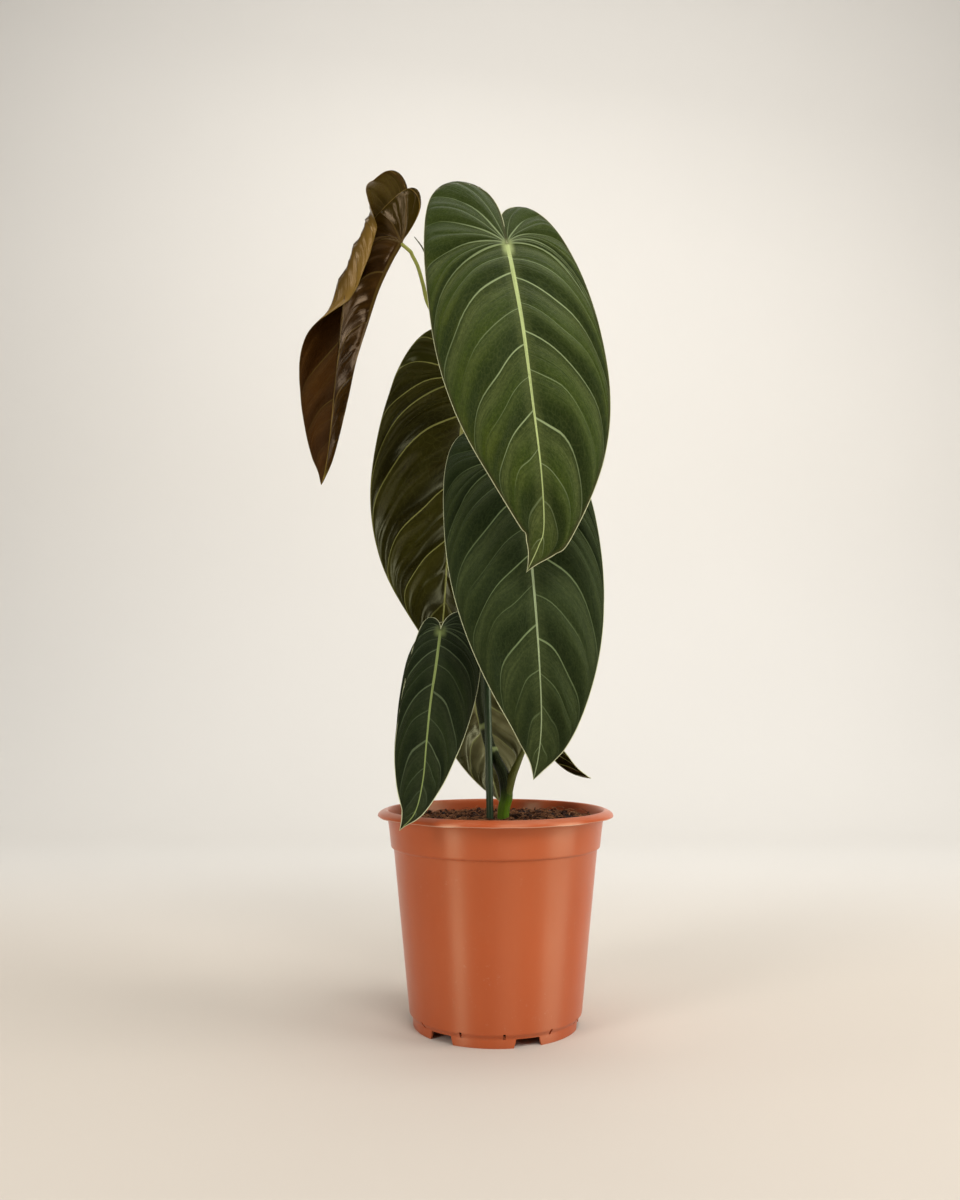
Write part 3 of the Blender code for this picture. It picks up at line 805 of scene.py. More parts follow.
@dataclass
class LeafBlade:
    """A heart-shaped blade with quilted panels between curving side veins.

    Attributes:
        name: The piece's name.
        midrib: Places along the midrib from the petiole to the tip, in metres.
        faces: By share of the length, the direction that its upper side faces.
        left: Its left half.
        right: Its right half.
        finish: The finishes of its two sides.
        slot: Its slot in the record.
        quilt: How strongly its panels swell.
        thickness: Its thickness between the veins, in metres.
        rib_thickness: Its thickness on the midrib, in metres.
        rim_radius: Radius of its rounded margin, in metres.
        lobe_share: Share of the margin, from lobe to tip, that belongs to the lobe.
        vein_starts: Where each side vein leaves the midrib, as shares of the length.
        vein_ends: Where each side vein meets the margin, as shares of the margin.
        vein_angles: How far each side vein turns away from the tip as it starts, in degrees.
        row_spread: Where the rows of points lie between two side veins.
        columns: Where the columns lie between midrib and margin.
        phase: Where its own waves start, so that no two blades are alike.
        sinus: How far the gap between the lobes is closed, in degrees.
        relief: Its low relief.
    """

    name: str
    midrib: tuple[tuple[float, float, float], ...]
    faces: tuple[tuple[float, tuple[float, float, float]], ...]
    left: Half
    right: Half
    finish: LeafFinish
    slot: Slot = Slot.LEAF
    quilt: float = 1.0
    thickness: float = 0.8 * MM
    rib_thickness: float = 2.5 * MM
    rim_radius: float = 0.30 * MM
    lobe_share: float = 0.36
    vein_starts: tuple[float, ...] = (0.0, 0.0, 0.0, 0.0, 0.0, 0.11, 0.33, 0.57, 0.79, 1.0)
    vein_ends: tuple[float, ...] = (0.0, 0.10, 0.19, 0.29, 0.42, 0.55, 0.72, 0.86, 0.95, 1.0)
    vein_angles: tuple[float, ...] = (174, 158, 138, 114, 86, 66, 58, 54, 48, 30)
    row_spread: tuple[float, ...] = (
        0.0, 0.012, 0.028, 0.055, 0.09, 0.14, 0.20, 0.27, 0.34, 0.40, 0.445, 0.475,
        0.5, 0.53, 0.565, 0.62, 0.69, 0.76, 0.82, 0.87, 0.91, 0.94, 0.965, 0.985,
    )
    columns: tuple[float, ...] = (
        0.0, 0.008, 0.018, 0.03, 0.045, 0.065, 0.09, 0.12, 0.155, 0.195, 0.24, 0.29, 0.34,
        0.40, 0.46, 0.52, 0.58, 0.64, 0.70, 0.76, 0.82, 0.87, 0.91, 0.945, 0.972, 0.988, 1.0,
    )
    phase: float = 0.0
    sinus: float = 0.0
    relief: Relief = Relief()

    def __post_init__(self) -> None:
        """Measure the midrib."""
        self.line = smooth_line(self.midrib)
        steps = np.linalg.norm(np.diff(self.line, axis=0), axis=1)
        self.walk = np.concatenate([[0.0], np.cumsum(steps)])
        self.length = float(self.walk[-1])
        self.heading = unit(np.gradient(self.line, self.walk, axis=0))

    def along_line(self, s: Array) -> tuple[Array, Array, Array, Array]:
        """Find the midrib's frame at distances from the petiole.

        Args:
            s: Distances along the midrib.

        Returns:
            Places, directions to the tip, normals of the upper side and directions to the left.
        """
        here = np.clip(s, 0.0, self.length)
        spot = np.stack([np.interp(here, self.walk, self.line[:, i]) for i in range(3)], -1)
        ahead = unit(np.stack([np.interp(here, self.walk, self.heading[:, i]) for i in range(3)], -1))
        shares = [share for share, _ in self.faces]
        normals = unit(np.array([face for _, face in self.faces], float))
        up = np.stack([np.interp(here / self.length, shares, normals[:, i]) for i in range(3)], -1)
        up = unit(up - (up * ahead).sum(-1, keepdims=True) * ahead)
        return spot, ahead, up, np.cross(ahead, up)

    def outline(self, half: Half, share: Array) -> Array:
        """Find flat points of the margin.

        Args:
            half: The half of the blade.
            share: Shares of its margin, from the lobe to the tip.

        Returns:
            How far out from the midrib and how far along it each point lies.
        """
        start = half.widest * self.length
        lobe_x = half.lobe_x * half.width
        turn = np.clip(share / self.lobe_share, 0.0, 1.0) * np.pi / 2
        lobe_out = lobe_x + (half.width - lobe_x) * np.sin(turn) + half.bulge * np.sin(2.0 * turn)
        lobe_along = start - (start + half.lobe) * np.cos(turn)
        down = np.clip((share - self.lobe_share) / (1.0 - self.lobe_share), 0.0, 1.0) ** 0.92
        point = np.clip((down - 0.86) / 0.14, 0.0, 1.0)
        drip = 1.0 - 0.35 * point * point * (3.0 - 2.0 * point)
        tip_out = half.width * (1.0 - down ** 2.1) ** half.taper * drip
        tip_along = start + (self.length - start) * down
        lobed = share < self.lobe_share
        return np.stack([np.where(lobed, lobe_out, tip_out), np.where(lobed, lobe_along, tip_along)], -1)

    def flat(self, half: Half, vein: Array, out: Array) -> Array:
        """Find flat points on the curves of the side veins.

        Args:
            half: The half of the blade.
            vein: Vein numbers, whole on a vein and fractions between two.
            out: Shares of the way from midrib to margin.

        Returns:
            How far out from the midrib and how far along it each point lies.
        """
        numbers = np.arange(len(self.vein_starts))
        start = np.interp(vein, numbers, self.vein_starts) * self.length
        share = np.interp(vein, numbers, self.vein_ends)
        angle = np.radians(np.interp(vein, numbers, self.vein_angles))
        angle = angle + math.radians(self.sinus) * np.clip(1.0 - vein, 0.0, 1.0)
        root = np.stack([np.zeros_like(start), start], -1)
        edge = self.outline(half, share)
        after = self.outline(half, np.clip(share + 0.001, 0.0, 1.0))
        before = self.outline(half, np.clip(share - 0.001, 0.0, 1.0))
        reach = np.linalg.norm(edge - root, axis=-1)[..., None]
        closing = self.sinus / 30.0 * np.clip(1.0 - vein, 0.0, 1.0)[..., None]
        first = root + np.stack([np.sin(angle), np.cos(angle)], -1) * reach * (0.38 + 0.7 * closing)
        second = edge - unit(after - before) * reach * (0.36 + 0.3 * closing)
        t = out[..., None]
        inner = root * (1 - t) ** 3 + 3 * first * t * (1 - t) ** 2
        return inner + 3 * second * t ** 2 * (1 - t) + edge * t ** 3

    def edge_distance(self, half: Half, flat: Array) -> Array:
        """Measure how far flat points lie from the nearest part of the margin.

        Args:
            half: The half of the blade.
            flat: Flat points, out from the midrib and along it.

        Returns:
            The distances in millimetres.
        """
        sinus = self.flat(half, np.zeros(300), np.linspace(0.0, 1.0, 300))
        edge = np.vstack([sinus, self.outline(half, np.linspace(0.0, 1.0, 900))])
        nearest = np.full(flat.shape[:2], np.inf)
        for x, y in edge:
            nearest = np.minimum(nearest, np.hypot(flat[..., 0] - x, flat[..., 1] - y))
        return nearest / MM

    def bent(self, half: Half, side: Side, flat: Array) -> tuple[Array, Array]:
        """Bend flat points into the blade's form.

        Args:
            half: The half of the blade.
            side: Which half it is.
            flat: Flat points, out from the midrib and along it.

        Returns:
            Places on the smooth form and its normals there.
        """
        sign = side.value
        s = flat[..., 1]
        back = np.clip(-s, 0.0, None)
        x = flat[..., 0] + half.splay * back
        spot, ahead, up, aside = self.along_line(s)
        curl = max(math.radians(half.curl), 0.001) / half.lobe
        turn = (curl * back)[..., None]
        spot = spot - ahead * np.sin(turn) / curl - up * (1.0 - np.cos(turn)) / curl
        up = up * np.cos(turn) - ahead * np.sin(turn)
        shares = [bend[0] for bend in half.bends]
        fold = np.radians(np.interp(s / self.length, shares, [bend[1] for bend in half.bends]))
        roll = np.radians(np.interp(s / self.length, shares, [bend[2] for bend in half.bends]))
        across = np.zeros_like(x)
        drop = np.zeros_like(x)
        steps = 16
        for i in range(steps):
            middle = half.rolled(x * (i + 0.5) / steps)
            across = across + np.cos(fold + roll * middle) * x / steps
            drop = drop + np.sin(fold + roll * middle) * x / steps
        lean = fold + roll * half.rolled(x)
        lean = lean * np.clip(x / (2.5 * MM), 0.0, 1.0)
        normal = up * np.cos(lean)[..., None] + sign * aside * np.sin(lean)[..., None]
        return spot + sign * aside * across[..., None] - up * drop[..., None], normal

    def wander(self, side: Side, number: Array, out: Array) -> Array:
        """Let the side veins wander a little, so that no two halves are alike.

        Args:
            side: Which half.
            number: Vein numbers.
            out: Shares of the way out.

        Returns:
            What is added to the vein numbers.
        """
        last = len(self.vein_starts) - 1
        ends = np.clip(number, 0.0, 1.0) * np.clip((last - number) / 1.5, 0.0, 1.0)
        turn = self.phase + (1.9 if side is Side.LEFT else 4.3)
        wave = np.sin(out * 5.2 + number * 1.7 + turn)
        wave = wave + 0.5 * np.sin(out * 11.0 - number * 2.9 + 2.0 * turn)
        start = 0.10 * np.sin(number * 2.1 + turn) * np.clip((number - 4.0) / 1.0, 0.0, 1.0)
        return ends * (0.055 * wave * np.clip(out * 4.0, 0.0, 1.0) + start)

    def surface(self, side: Side) -> tuple[Array, Array, dict[str, Array]]:
        """Work out one half's upper and lower skin.

        Args:
            side: Which half.

        Returns:
            Upper places, lower places and the points' own numbers, each by row and column.
        """
        half = self.left if side is Side.LEFT else self.right
        last = len(self.vein_starts) - 1
        rows = np.array([i + share for i in range(last) for share in self.row_spread] + [last], float)
        number, out = np.meshgrid(rows, np.array(self.columns), indexing="ij")
        vein = number + self.wander(side, number, out)
        flat = self.flat(half, vein, out)
        step = 0.004
        low, high = np.clip(vein - step, 0, last), np.clip(vein + step, 0, last)
        across = (self.flat(half, high, out) - self.flat(half, low, out)) / (high - low)[..., None]
        nearer, farther = np.clip(out - step, 0, 1), np.clip(out + step, 0, 1)
        outward = unit(self.flat(half, vein, farther) - self.flat(half, vein, nearer))
        spacing = np.abs(across[..., 0] * outward[..., 1] - across[..., 1] * outward[..., 0]) / MM
        share = number - np.floor(number)
        near = np.minimum(share, 1.0 - share) * spacing
        vein_mm = np.where((number < 0.5) | (number > last - 0.5), 9.0, near)
        rib_mm = np.where(flat[..., 1] > -0.5 * MM, flat[..., 0], np.hypot(flat[..., 0], flat[..., 1])) / MM
        margin_mm = self.edge_distance(half, flat)
        lengthwise = flat[..., 1] / self.length

        form = self.relief
        depth = np.clip(form.rise * spacing, 0.0, form.rise_limit) * MM * self.quilt
        spread = np.clip(4.0 * out * (1.0 - out), 0.0, 1.0) ** 0.5
        spread = np.where(out > 0.5, np.sin(np.pi / 2.0 * np.clip((1.0 - out) / 0.35, 0.0, 1.0)), spread)
        swell = np.sin(np.pi * share ** 1.35) ** 1.1
        lesser = form.lesser_depth * bell(share, 0.5, form.lesser_width) * np.clip(1.3 - out, 0.0, 1.0)
        ripple = form.ripple * np.sin(2.0 * np.pi * number * 4.0 + 2.0 * np.sin(out * 7.0 + self.phase))
        depth = depth * np.interp(number, (0.0, 6.8, 8.2, 9.0), (1.0, 1.0, 0.45, 0.0))
        height = depth * spread * (swell - form.rest - lesser + ripple)
        strength = np.clip(1.0 - lengthwise, 0.0, 1.0) ** 0.6
        groove = bell(rib_mm, 0.0, form.groove_width_mm) - bell(rib_mm, 0.0, form.rib_top_width_mm)
        height = height - groove * form.groove * strength

        smooth, normal = self.bent(half, side, flat)
        upper = smooth + normal * height[..., None]
        rib_depth = (self.rib_thickness - self.thickness) * bell(rib_mm, 0.0, form.rib_width_mm) * strength
        vein_depth = form.vein_depth * bell(vein_mm, 0.0, form.vein_width_mm)
        vein_depth = vein_depth * np.clip(1.0 - out, 0.0, 1.0) ** 0.5 * spread
        edge = np.clip(margin_mm / 2.5, 0.0, 1.0) ** 0.5
        thick = self.thickness * (0.55 + 0.45 * edge) + rib_depth + vein_depth
        lower = upper - normal * thick[..., None]
        # Painted sheen bands: one just below each side vein and a fainter one across the middle of each
        # panel.
        painted_sheen_band = bell(share, form.painted_sheen_at, form.painted_sheen_width)
        painted_sheen_band = painted_sheen_band + form.painted_mid_sheen * bell(share, form.painted_mid_sheen_at, form.painted_mid_sheen_width)
        warm = np.clip((share - 0.25) * 2.0, 0.0, 1.0) * np.clip((out - 0.2) * 2.5, 0.0, 1.0)
        warm = warm * np.clip((1.0 - out) * 5.0, 0.0, 1.0)
        numbers = {
            "phase": number + 11.0 * (side is Side.RIGHT) + self.phase,
            "out": out,
            "along": lengthwise,
            "vein_mm": vein_mm,
            "lesser_mm": np.abs(share - 0.5) * spacing,
            "rib_mm": rib_mm,
            "margin_mm": margin_mm,
            "bold": np.interp(number, (0.0, 7.4, 7.6, 9.0), (1.0, 1.0, 0.35, 0.2)),
            "pale": half.pale * np.clip(out * 2.4 - 0.9, 0.0, 1.0) * np.ones_like(share),
            # Painted light and shade: panel crowns painted lighter, painted sheen bands and painted shade
            # in the dip above each vein. The warm patches are the leaf's own tone, weaker on a half painted
            # darker.
            "panel": np.sin(np.pi * share) * spread,
            "painted_sheen_band": half.painted_sheen * spread * np.clip(painted_sheen_band, 0.0, 1.0),
            "painted_valley_shade": form.painted_valley_shade * spread * bell(share, form.painted_valley_shade_at, form.painted_valley_shade_width),
            "warm": form.warmth * half.painted_sheen * warm,
        }
        return upper, lower, numbers

    def rim(self, upper: Array, lower: Array, inner: Array, own: dict[str, Array], spots: Array) -> Array:
        """Round off the thickened margin.

        Args:
            upper: The margin's places on the upper skin.
            lower: The same on the lower skin.
            inner: Places a little inside of the margin.
            own: The half's own numbers.
            spots: Where the margin's points stand in those numbers.

        Returns:
            Lines of places round the margin, from its upper to its lower side.
        """
        up = unit(upper - lower)
        outward = unit(np.cross(unit(np.gradient(upper, axis=0)), up))
        outward = outward * np.sign((outward * (upper - inner)).sum())
        radius = self.rim_radius * np.clip(own["rib_mm"].ravel()[spots] / 3.0, 0.0, 1.0)[:, None]
        middle = (upper + lower) / 2.0
        lines = []
        for degrees in (115, 75, 38, 0, -38, -75, -115):
            angle = math.radians(degrees)
            lines.append(middle + radius * (up * math.sin(angle) + outward * math.cos(angle)))
        return np.stack(lines)

    def mesh(self) -> bpy.types.Mesh:
        """Join both halves' skins into one closed blade.

        Returns:
            The mesh, with the upper finish first and the underside's second.
        """
        places, faces, kinds = [], [], []
        numbers: dict[str, list[Array]] = {}
        base = 0
        for side in Side:
            upper, lower, own = self.surface(side)
            rows, cols = upper.shape[:2]
            grid = base + np.arange(rows * cols).reshape(rows, cols)
            under = grid + rows * cols
            quads = grid_faces(grid, flip=True)
            lower_quads = (quads + rows * cols)[:, ::-1]
            rim = np.concatenate([grid[0, :], grid[1:, -1]])
            rim_under = np.concatenate([under[0, :], under[1:, -1]])
            inner = np.concatenate([upper[1, :], upper[1:, -2]])
            spots = rim - base
            above, below = upper.reshape(-1, 3)[spots], lower.reshape(-1, 3)[spots]
            round_rim = self.rim(above, below, inner, own, spots)
            first = base + 2 * rows * cols
            lines = first + np.arange(round_rim.shape[0] * len(rim)).reshape(-1, len(rim))
            lines = np.vstack([rim, lines, rim_under])
            strip = grid_faces(lines)
            together = [quads, lower_quads, strip]
            if side is Side.LEFT:
                together = [block[:, ::-1] for block in together]
            faces.extend(together)
            kinds.extend([np.zeros(len(quads)), np.ones(len(lower_quads)), np.zeros(len(strip))])
            places.extend([upper.reshape(-1, 3), lower.reshape(-1, 3), round_rim.reshape(-1, 3)])
            for key, values in own.items():
                on_rim = np.tile(values.ravel()[spots], len(round_rim))
                numbers.setdefault(key, []).extend([values.ravel(), values.ravel(), on_rim])
            base += 2 * rows * cols + round_rim.shape[0] * len(rim)
        joined = {key: np.concatenate(values) for key, values in numbers.items()}
        mesh = mesh_of(self.name, np.vstack(places), np.vstack(faces), joined)
        mesh.polygons.foreach_set("material_index", np.concatenate(kinds).astype(np.int32))
        weld(mesh, WIDE_WELD)
        return mesh


@dataclass
class Tube:
    """A round stalk or rod along a route, with its own thickness at each point."""

    name: str
    route: Array
    radii: Array
    sides: int = 20
    step: float = 1.2 * MM
    swell: Callable[[Array, Array], Array] | None = None
    blunt: bool = True
    closed: bool = False

    def sampled(self) -> tuple[Array, Array]:
        """Step evenly along the route.

        Returns:
            The places and the radius at each.
        """
        route = np.vstack([self.route, self.route[:1]]) if self.closed else self.route
        radii = np.append(self.radii, self.radii[0]) if self.closed else self.radii
        line = smooth_line(np.column_stack([route, radii]), 40)
        walk = np.concatenate([[0.0], np.cumsum(np.linalg.norm(np.diff(line[:, :3], axis=0), axis=1))])
        count = max(8, int(walk[-1] / self.step))
        at = np.linspace(0.0, walk[-1], count)
        even = np.stack([np.interp(at, walk, line[:, i]) for i in range(4)], -1)
        return even[:, :3], even[:, 3]

    def mesh(self) -> bpy.types.Mesh:
        """Sweep the section along the route and close its ends.

        Returns:
            The mesh.
        """
        line, radii = self.sampled()
        if self.blunt and not self.closed:
            ends = np.array([0.0, 0.45, 0.8, 0.95])
            line = np.vstack([line[:1].repeat(3, 0), line, line[-1:].repeat(3, 0)])
            radii = np.concatenate([radii[0] * ends[:3], radii, radii[-1] * ends[2::-1]])
            ahead = unit(line[4] - line[3])
            behind = unit(line[-4] - line[-5])
            for i, lift in enumerate((1.0, 0.85, 0.5)):
                line[i] = line[3] - ahead * radii[3] * lift * 0.5
                line[-1 - i] = line[-4] + behind * radii[-4] * lift * 0.5
        heading = unit(np.gradient(line, axis=0))
        if self.closed:
            heading[0] = heading[-1] = unit(line[1] - line[-2])
        guide = np.array([0.0, 1.0, 0.1]) if abs(heading[0][1]) < 0.8 else np.array([1.0, 0.0, 0.0])
        first = unit(guide - heading[0] * (guide @ heading[0]))
        frames = [first]
        for direction in heading[1:]:
            turned = frames[-1] - direction * (frames[-1] @ direction)
            frames.append(unit(turned))
        first = np.array(frames)
        second = np.cross(heading, first)
        angle = np.linspace(0.0, 2.0 * np.pi, self.sides, endpoint=False)
        share = np.linspace(0.0, 1.0, len(line))
        grid_share, grid_angle = np.meshgrid(share, angle, indexing="ij")
        bulge = self.swell(grid_share, grid_angle) if self.swell else np.ones_like(grid_share)
        size = radii[:, None] * bulge
        places = line[:, None] + first[:, None] * (np.cos(angle) * size)[..., None]
        places = places + second[:, None] * (np.sin(angle) * size)[..., None]
        faces = grid_faces(np.arange(size.size).reshape(size.shape), closed=True)
        numbers = {
            "along": grid_share.ravel(),
            "around": np.abs(grid_angle / np.pi - 1.0).ravel(),
            "ring": np.clip((bulge - 1.03) / 0.10, 0.0, 1.0).ravel(),
        }
        mesh = mesh_of(self.name, places.reshape(-1, 3), faces, numbers)
        weld(mesh, FINE_WELD)
        return mesh


GREEN_UNDER = UnderFinish(
    name="leaf_underside",
    deep=(0.013, 0.011, 0.0012),
    bright=(0.028, 0.026, 0.002),
    vein=(0.24, 0.24, 0.07),
    margin=(0.26, 0.26, 0.05),
    lobe=(0.030, 0.030, 0.005),
    tip=(0.05, 0.04, 0.010),
    pale=(0.05, 0.04, 0.010),
)
TOP_UPPER = UpperFinish(
    name="leaf_velvet_mid",
    deep=(0.007, 0.015, 0.0015),
    bright=(0.029, 0.048, 0.004),
    warm=(0.088, 0.110, 0.008),
    painted_sheen_colour=(0.108, 0.130, 0.038),
    vein=(0.27, 0.33, 0.16),
    rib=(0.42, 0.49, 0.20),
    margin=(0.66, 0.67, 0.40),
    lobe=(0.026, 0.042, 0.005),
    blush=(0.060, 0.050, 0.020),
)
DARK_UPPER = UpperFinish(
    name="leaf_velvet_dark",
    deep=(0.006, 0.012, 0.003),
    bright=(0.017, 0.026, 0.007),
    warm=(0.028, 0.038, 0.008),
    painted_sheen_colour=(0.066, 0.084, 0.028),
    vein=(0.17, 0.22, 0.10),
    rib=(0.31, 0.37, 0.20),
    margin=(0.68, 0.70, 0.42),
    lobe=(0.016, 0.026, 0.008),
    blush=(0.030, 0.036, 0.015),
    rib_start=1.6,
)
# Painted shade: a darker copy of the velvet finish, for the low leaf on the left, which lies in shade; its
# midrib also starts narrower.
SHADED_UPPER = UpperFinish(
    name="leaf_velvet_painted_shade",
    deep=(0.004, 0.008, 0.003),
    bright=(0.011, 0.018, 0.005),
    warm=(0.024, 0.030, 0.006),
    painted_sheen_colour=(0.034, 0.042, 0.018),
    vein=(0.085, 0.108, 0.055),
    rib=(0.22, 0.27, 0.09),
    margin=(0.68, 0.70, 0.42),
    lobe=(0.010, 0.016, 0.005),
    blush=(0.020, 0.022, 0.010),
    velvet=0.02,
    gloss=0.10,
    rib_start=1.3,
)
BACK_UPPER = replace(DARK_UPPER, name="leaf_velvet_back", margin=(0.12, 0.10, 0.025))
BRONZE_UPPER = UpperFinish(
    name="leaf_bronze_velvet",
    deep=(0.026, 0.008, 0.0008),
    bright=(0.048, 0.016, 0.001),
    warm=(0.070, 0.026, 0.002),
    painted_sheen_colour=(0.080, 0.036, 0.008),
    vein=(0.10, 0.065, 0.014),
    rib=(0.14, 0.09, 0.02),
    margin=(0.17, 0.105, 0.02),
    lobe=(0.048, 0.034, 0.003),
    blush=(0.05, 0.02, 0.004),
    roughness=0.36,
    velvet=0.02,
    gloss=0.11,
    shine=(1.0, 0.72, 0.40),
)
BRONZE_UNDER = UnderFinish(
    name="leaf_bronze_underside",
    deep=(0.018, 0.007, 0.001),
    bright=(0.050, 0.022, 0.003),
    vein=(0.075, 0.045, 0.010),
    margin=(0.20, 0.13, 0.03),
    lobe=(0.030, 0.019, 0.001),
    tip=(0.26, 0.20, 0.02),
    pale=(0.205, 0.120, 0.024),
    painted_sheen_colour=(0.070, 0.032, 0.004),
    roughness=0.17,
    gloss=0.36,
    shine=(1.0, 0.72, 0.46),
    ripple=0.00028,
)
# Painted light: a copy of the green underside made far lighter, partly the small back leaf's paler olive
# tone and mostly standing for the broad highlight it shows while it lies in shade.
PAINTED_LIGHT_UNDER = UnderFinish(
    name="leaf_underside_painted_light",
    deep=(0.032, 0.028, 0.006),
    bright=(0.240, 0.235, 0.110),
    roughness=0.27,
    gloss=0.50,
    vein=(0.22, 0.23, 0.08),
    margin=(0.30, 0.27, 0.10),
    lobe=(0.05, 0.05, 0.012),
    tip=(0.06, 0.04, 0.010),
    pale=(0.05, 0.04, 0.010),
)
MID_LEAF = LeafFinish(TOP_UPPER, GREEN_UNDER)
SMALL_LEAF = LeafFinish(DARK_UPPER, PAINTED_LIGHT_UNDER)
DARK_LEAF = LeafFinish(DARK_UPPER, GREEN_UNDER)
SHADED_LEAF = LeafFinish(SHADED_UPPER, GREEN_UNDER)
BACK_LEAF = LeafFinish(BACK_UPPER, GREEN_UNDER)
BRONZE_LEAF = LeafFinish(BRONZE_UPPER, BRONZE_UNDER)
# Painted shade: bright green at the foot, turning near black between 0.168 m and 0.186 m up, where the
# leaves and the stake shade the vine.
VINE_SKIN = StalkFinish(
    name="vine_skin",
    low=(0.125, 0.235, 0.012),
    high=(0.009, 0.011, 0.003),
    streak=(0.05, 0.07, 0.015),
    start=0.168,
    end=0.186,
    by_height=True,
    roughness=0.36,
    gloss=0.16,
)
PETIOLE_SKIN = StalkFinish(
    name="petiole_skin",
    low=(0.055, 0.075, 0.015),
    high=(0.26, 0.30, 0.08),
    streak=(0.12, 0.14, 0.035),
    start=0.05,
    end=0.75,
)
YOUNG_SKIN = StalkFinish(
    name="young_petiole_skin",
    low=(0.10, 0.13, 0.02),
    high=(0.30, 0.31, 0.06),
    streak=(0.16, 0.17, 0.03),
    start=0.1,
    end=0.6,
)
DARK_SKIN = StalkFinish(
    name="dark_petiole_skin",
    low=(0.110, 0.19, 0.012),
    high=(0.085, 0.086, 0.010),
    streak=(0.12, 0.14, 0.03),
    start=0.02,
    end=0.34,
)
SHEATH_SKIN = StalkFinish(
    name="sheath_skin",
    low=(0.32, 0.32, 0.07),
    high=(0.05, 0.05, 0.02),
    streak=(0.20, 0.19, 0.05),
    start=0.45,
    end=0.85,
)
STAKE_COAT = MouldedFinish(
    name="stake_coat",
    colour=(0.024, 0.052, 0.021),
    flow=(0.044, 0.082, 0.034),
    dust=(0.22, 0.27, 0.15),
    roughness=0.38,
    dust_share=0.3,
    pebble=0.00006,
    shine=(1.0, 1.0, 0.75),
)
TIE_RUBBER = MouldedFinish(
    name="tie_rubber",
    colour=(0.040, 0.11, 0.035),
    flow=(0.055, 0.14, 0.05),
    dust=(0.2, 0.24, 0.18),
    roughness=0.55,
    dust_share=0.3,
    pebble=0.0001,
)
POT_PLASTIC = MouldedFinish(
    name="pot_plastic_skin",
    colour=(0.430, 0.074, 0.018),
    flow=(0.470, 0.088, 0.024),
    dust=(0.62, 0.42, 0.30),
    roughness=0.36,
    dust_share=0.20,
    pebble=0.00003,
    brushed=0.95,
    gloss=0.9,
    shine=(1.0, 0.94, 0.62),
)
# The bed is nearly black: partly the mix's own dark colour, partly painted shade in the gaps between the
# crumbs and fibres.
POTTING_MIX = EarthFinish(
    name="potting_mix",
    dark=(0.004, 0.0014, 0.0007),
    light=(0.034, 0.011, 0.0045),
)
BARK_CRUMB = EarthFinish(
    name="bark_crumb",
    dark=(0.010, 0.003, 0.0012),
    light=(0.085, 0.027, 0.010),
    scale=500.0,
)
COIR_FIBRE = EarthFinish(
    name="coir_fibre",
    dark=(0.055, 0.019, 0.008),
    light=(0.50, 0.22, 0.095),
    scale=700.0,
)
WHITE_GRAIN = EarthFinish(
    name="white_grain",
    dark=(0.42, 0.38, 0.33),
    light=(0.80, 0.76, 0.70),
    scale=900.0,
)

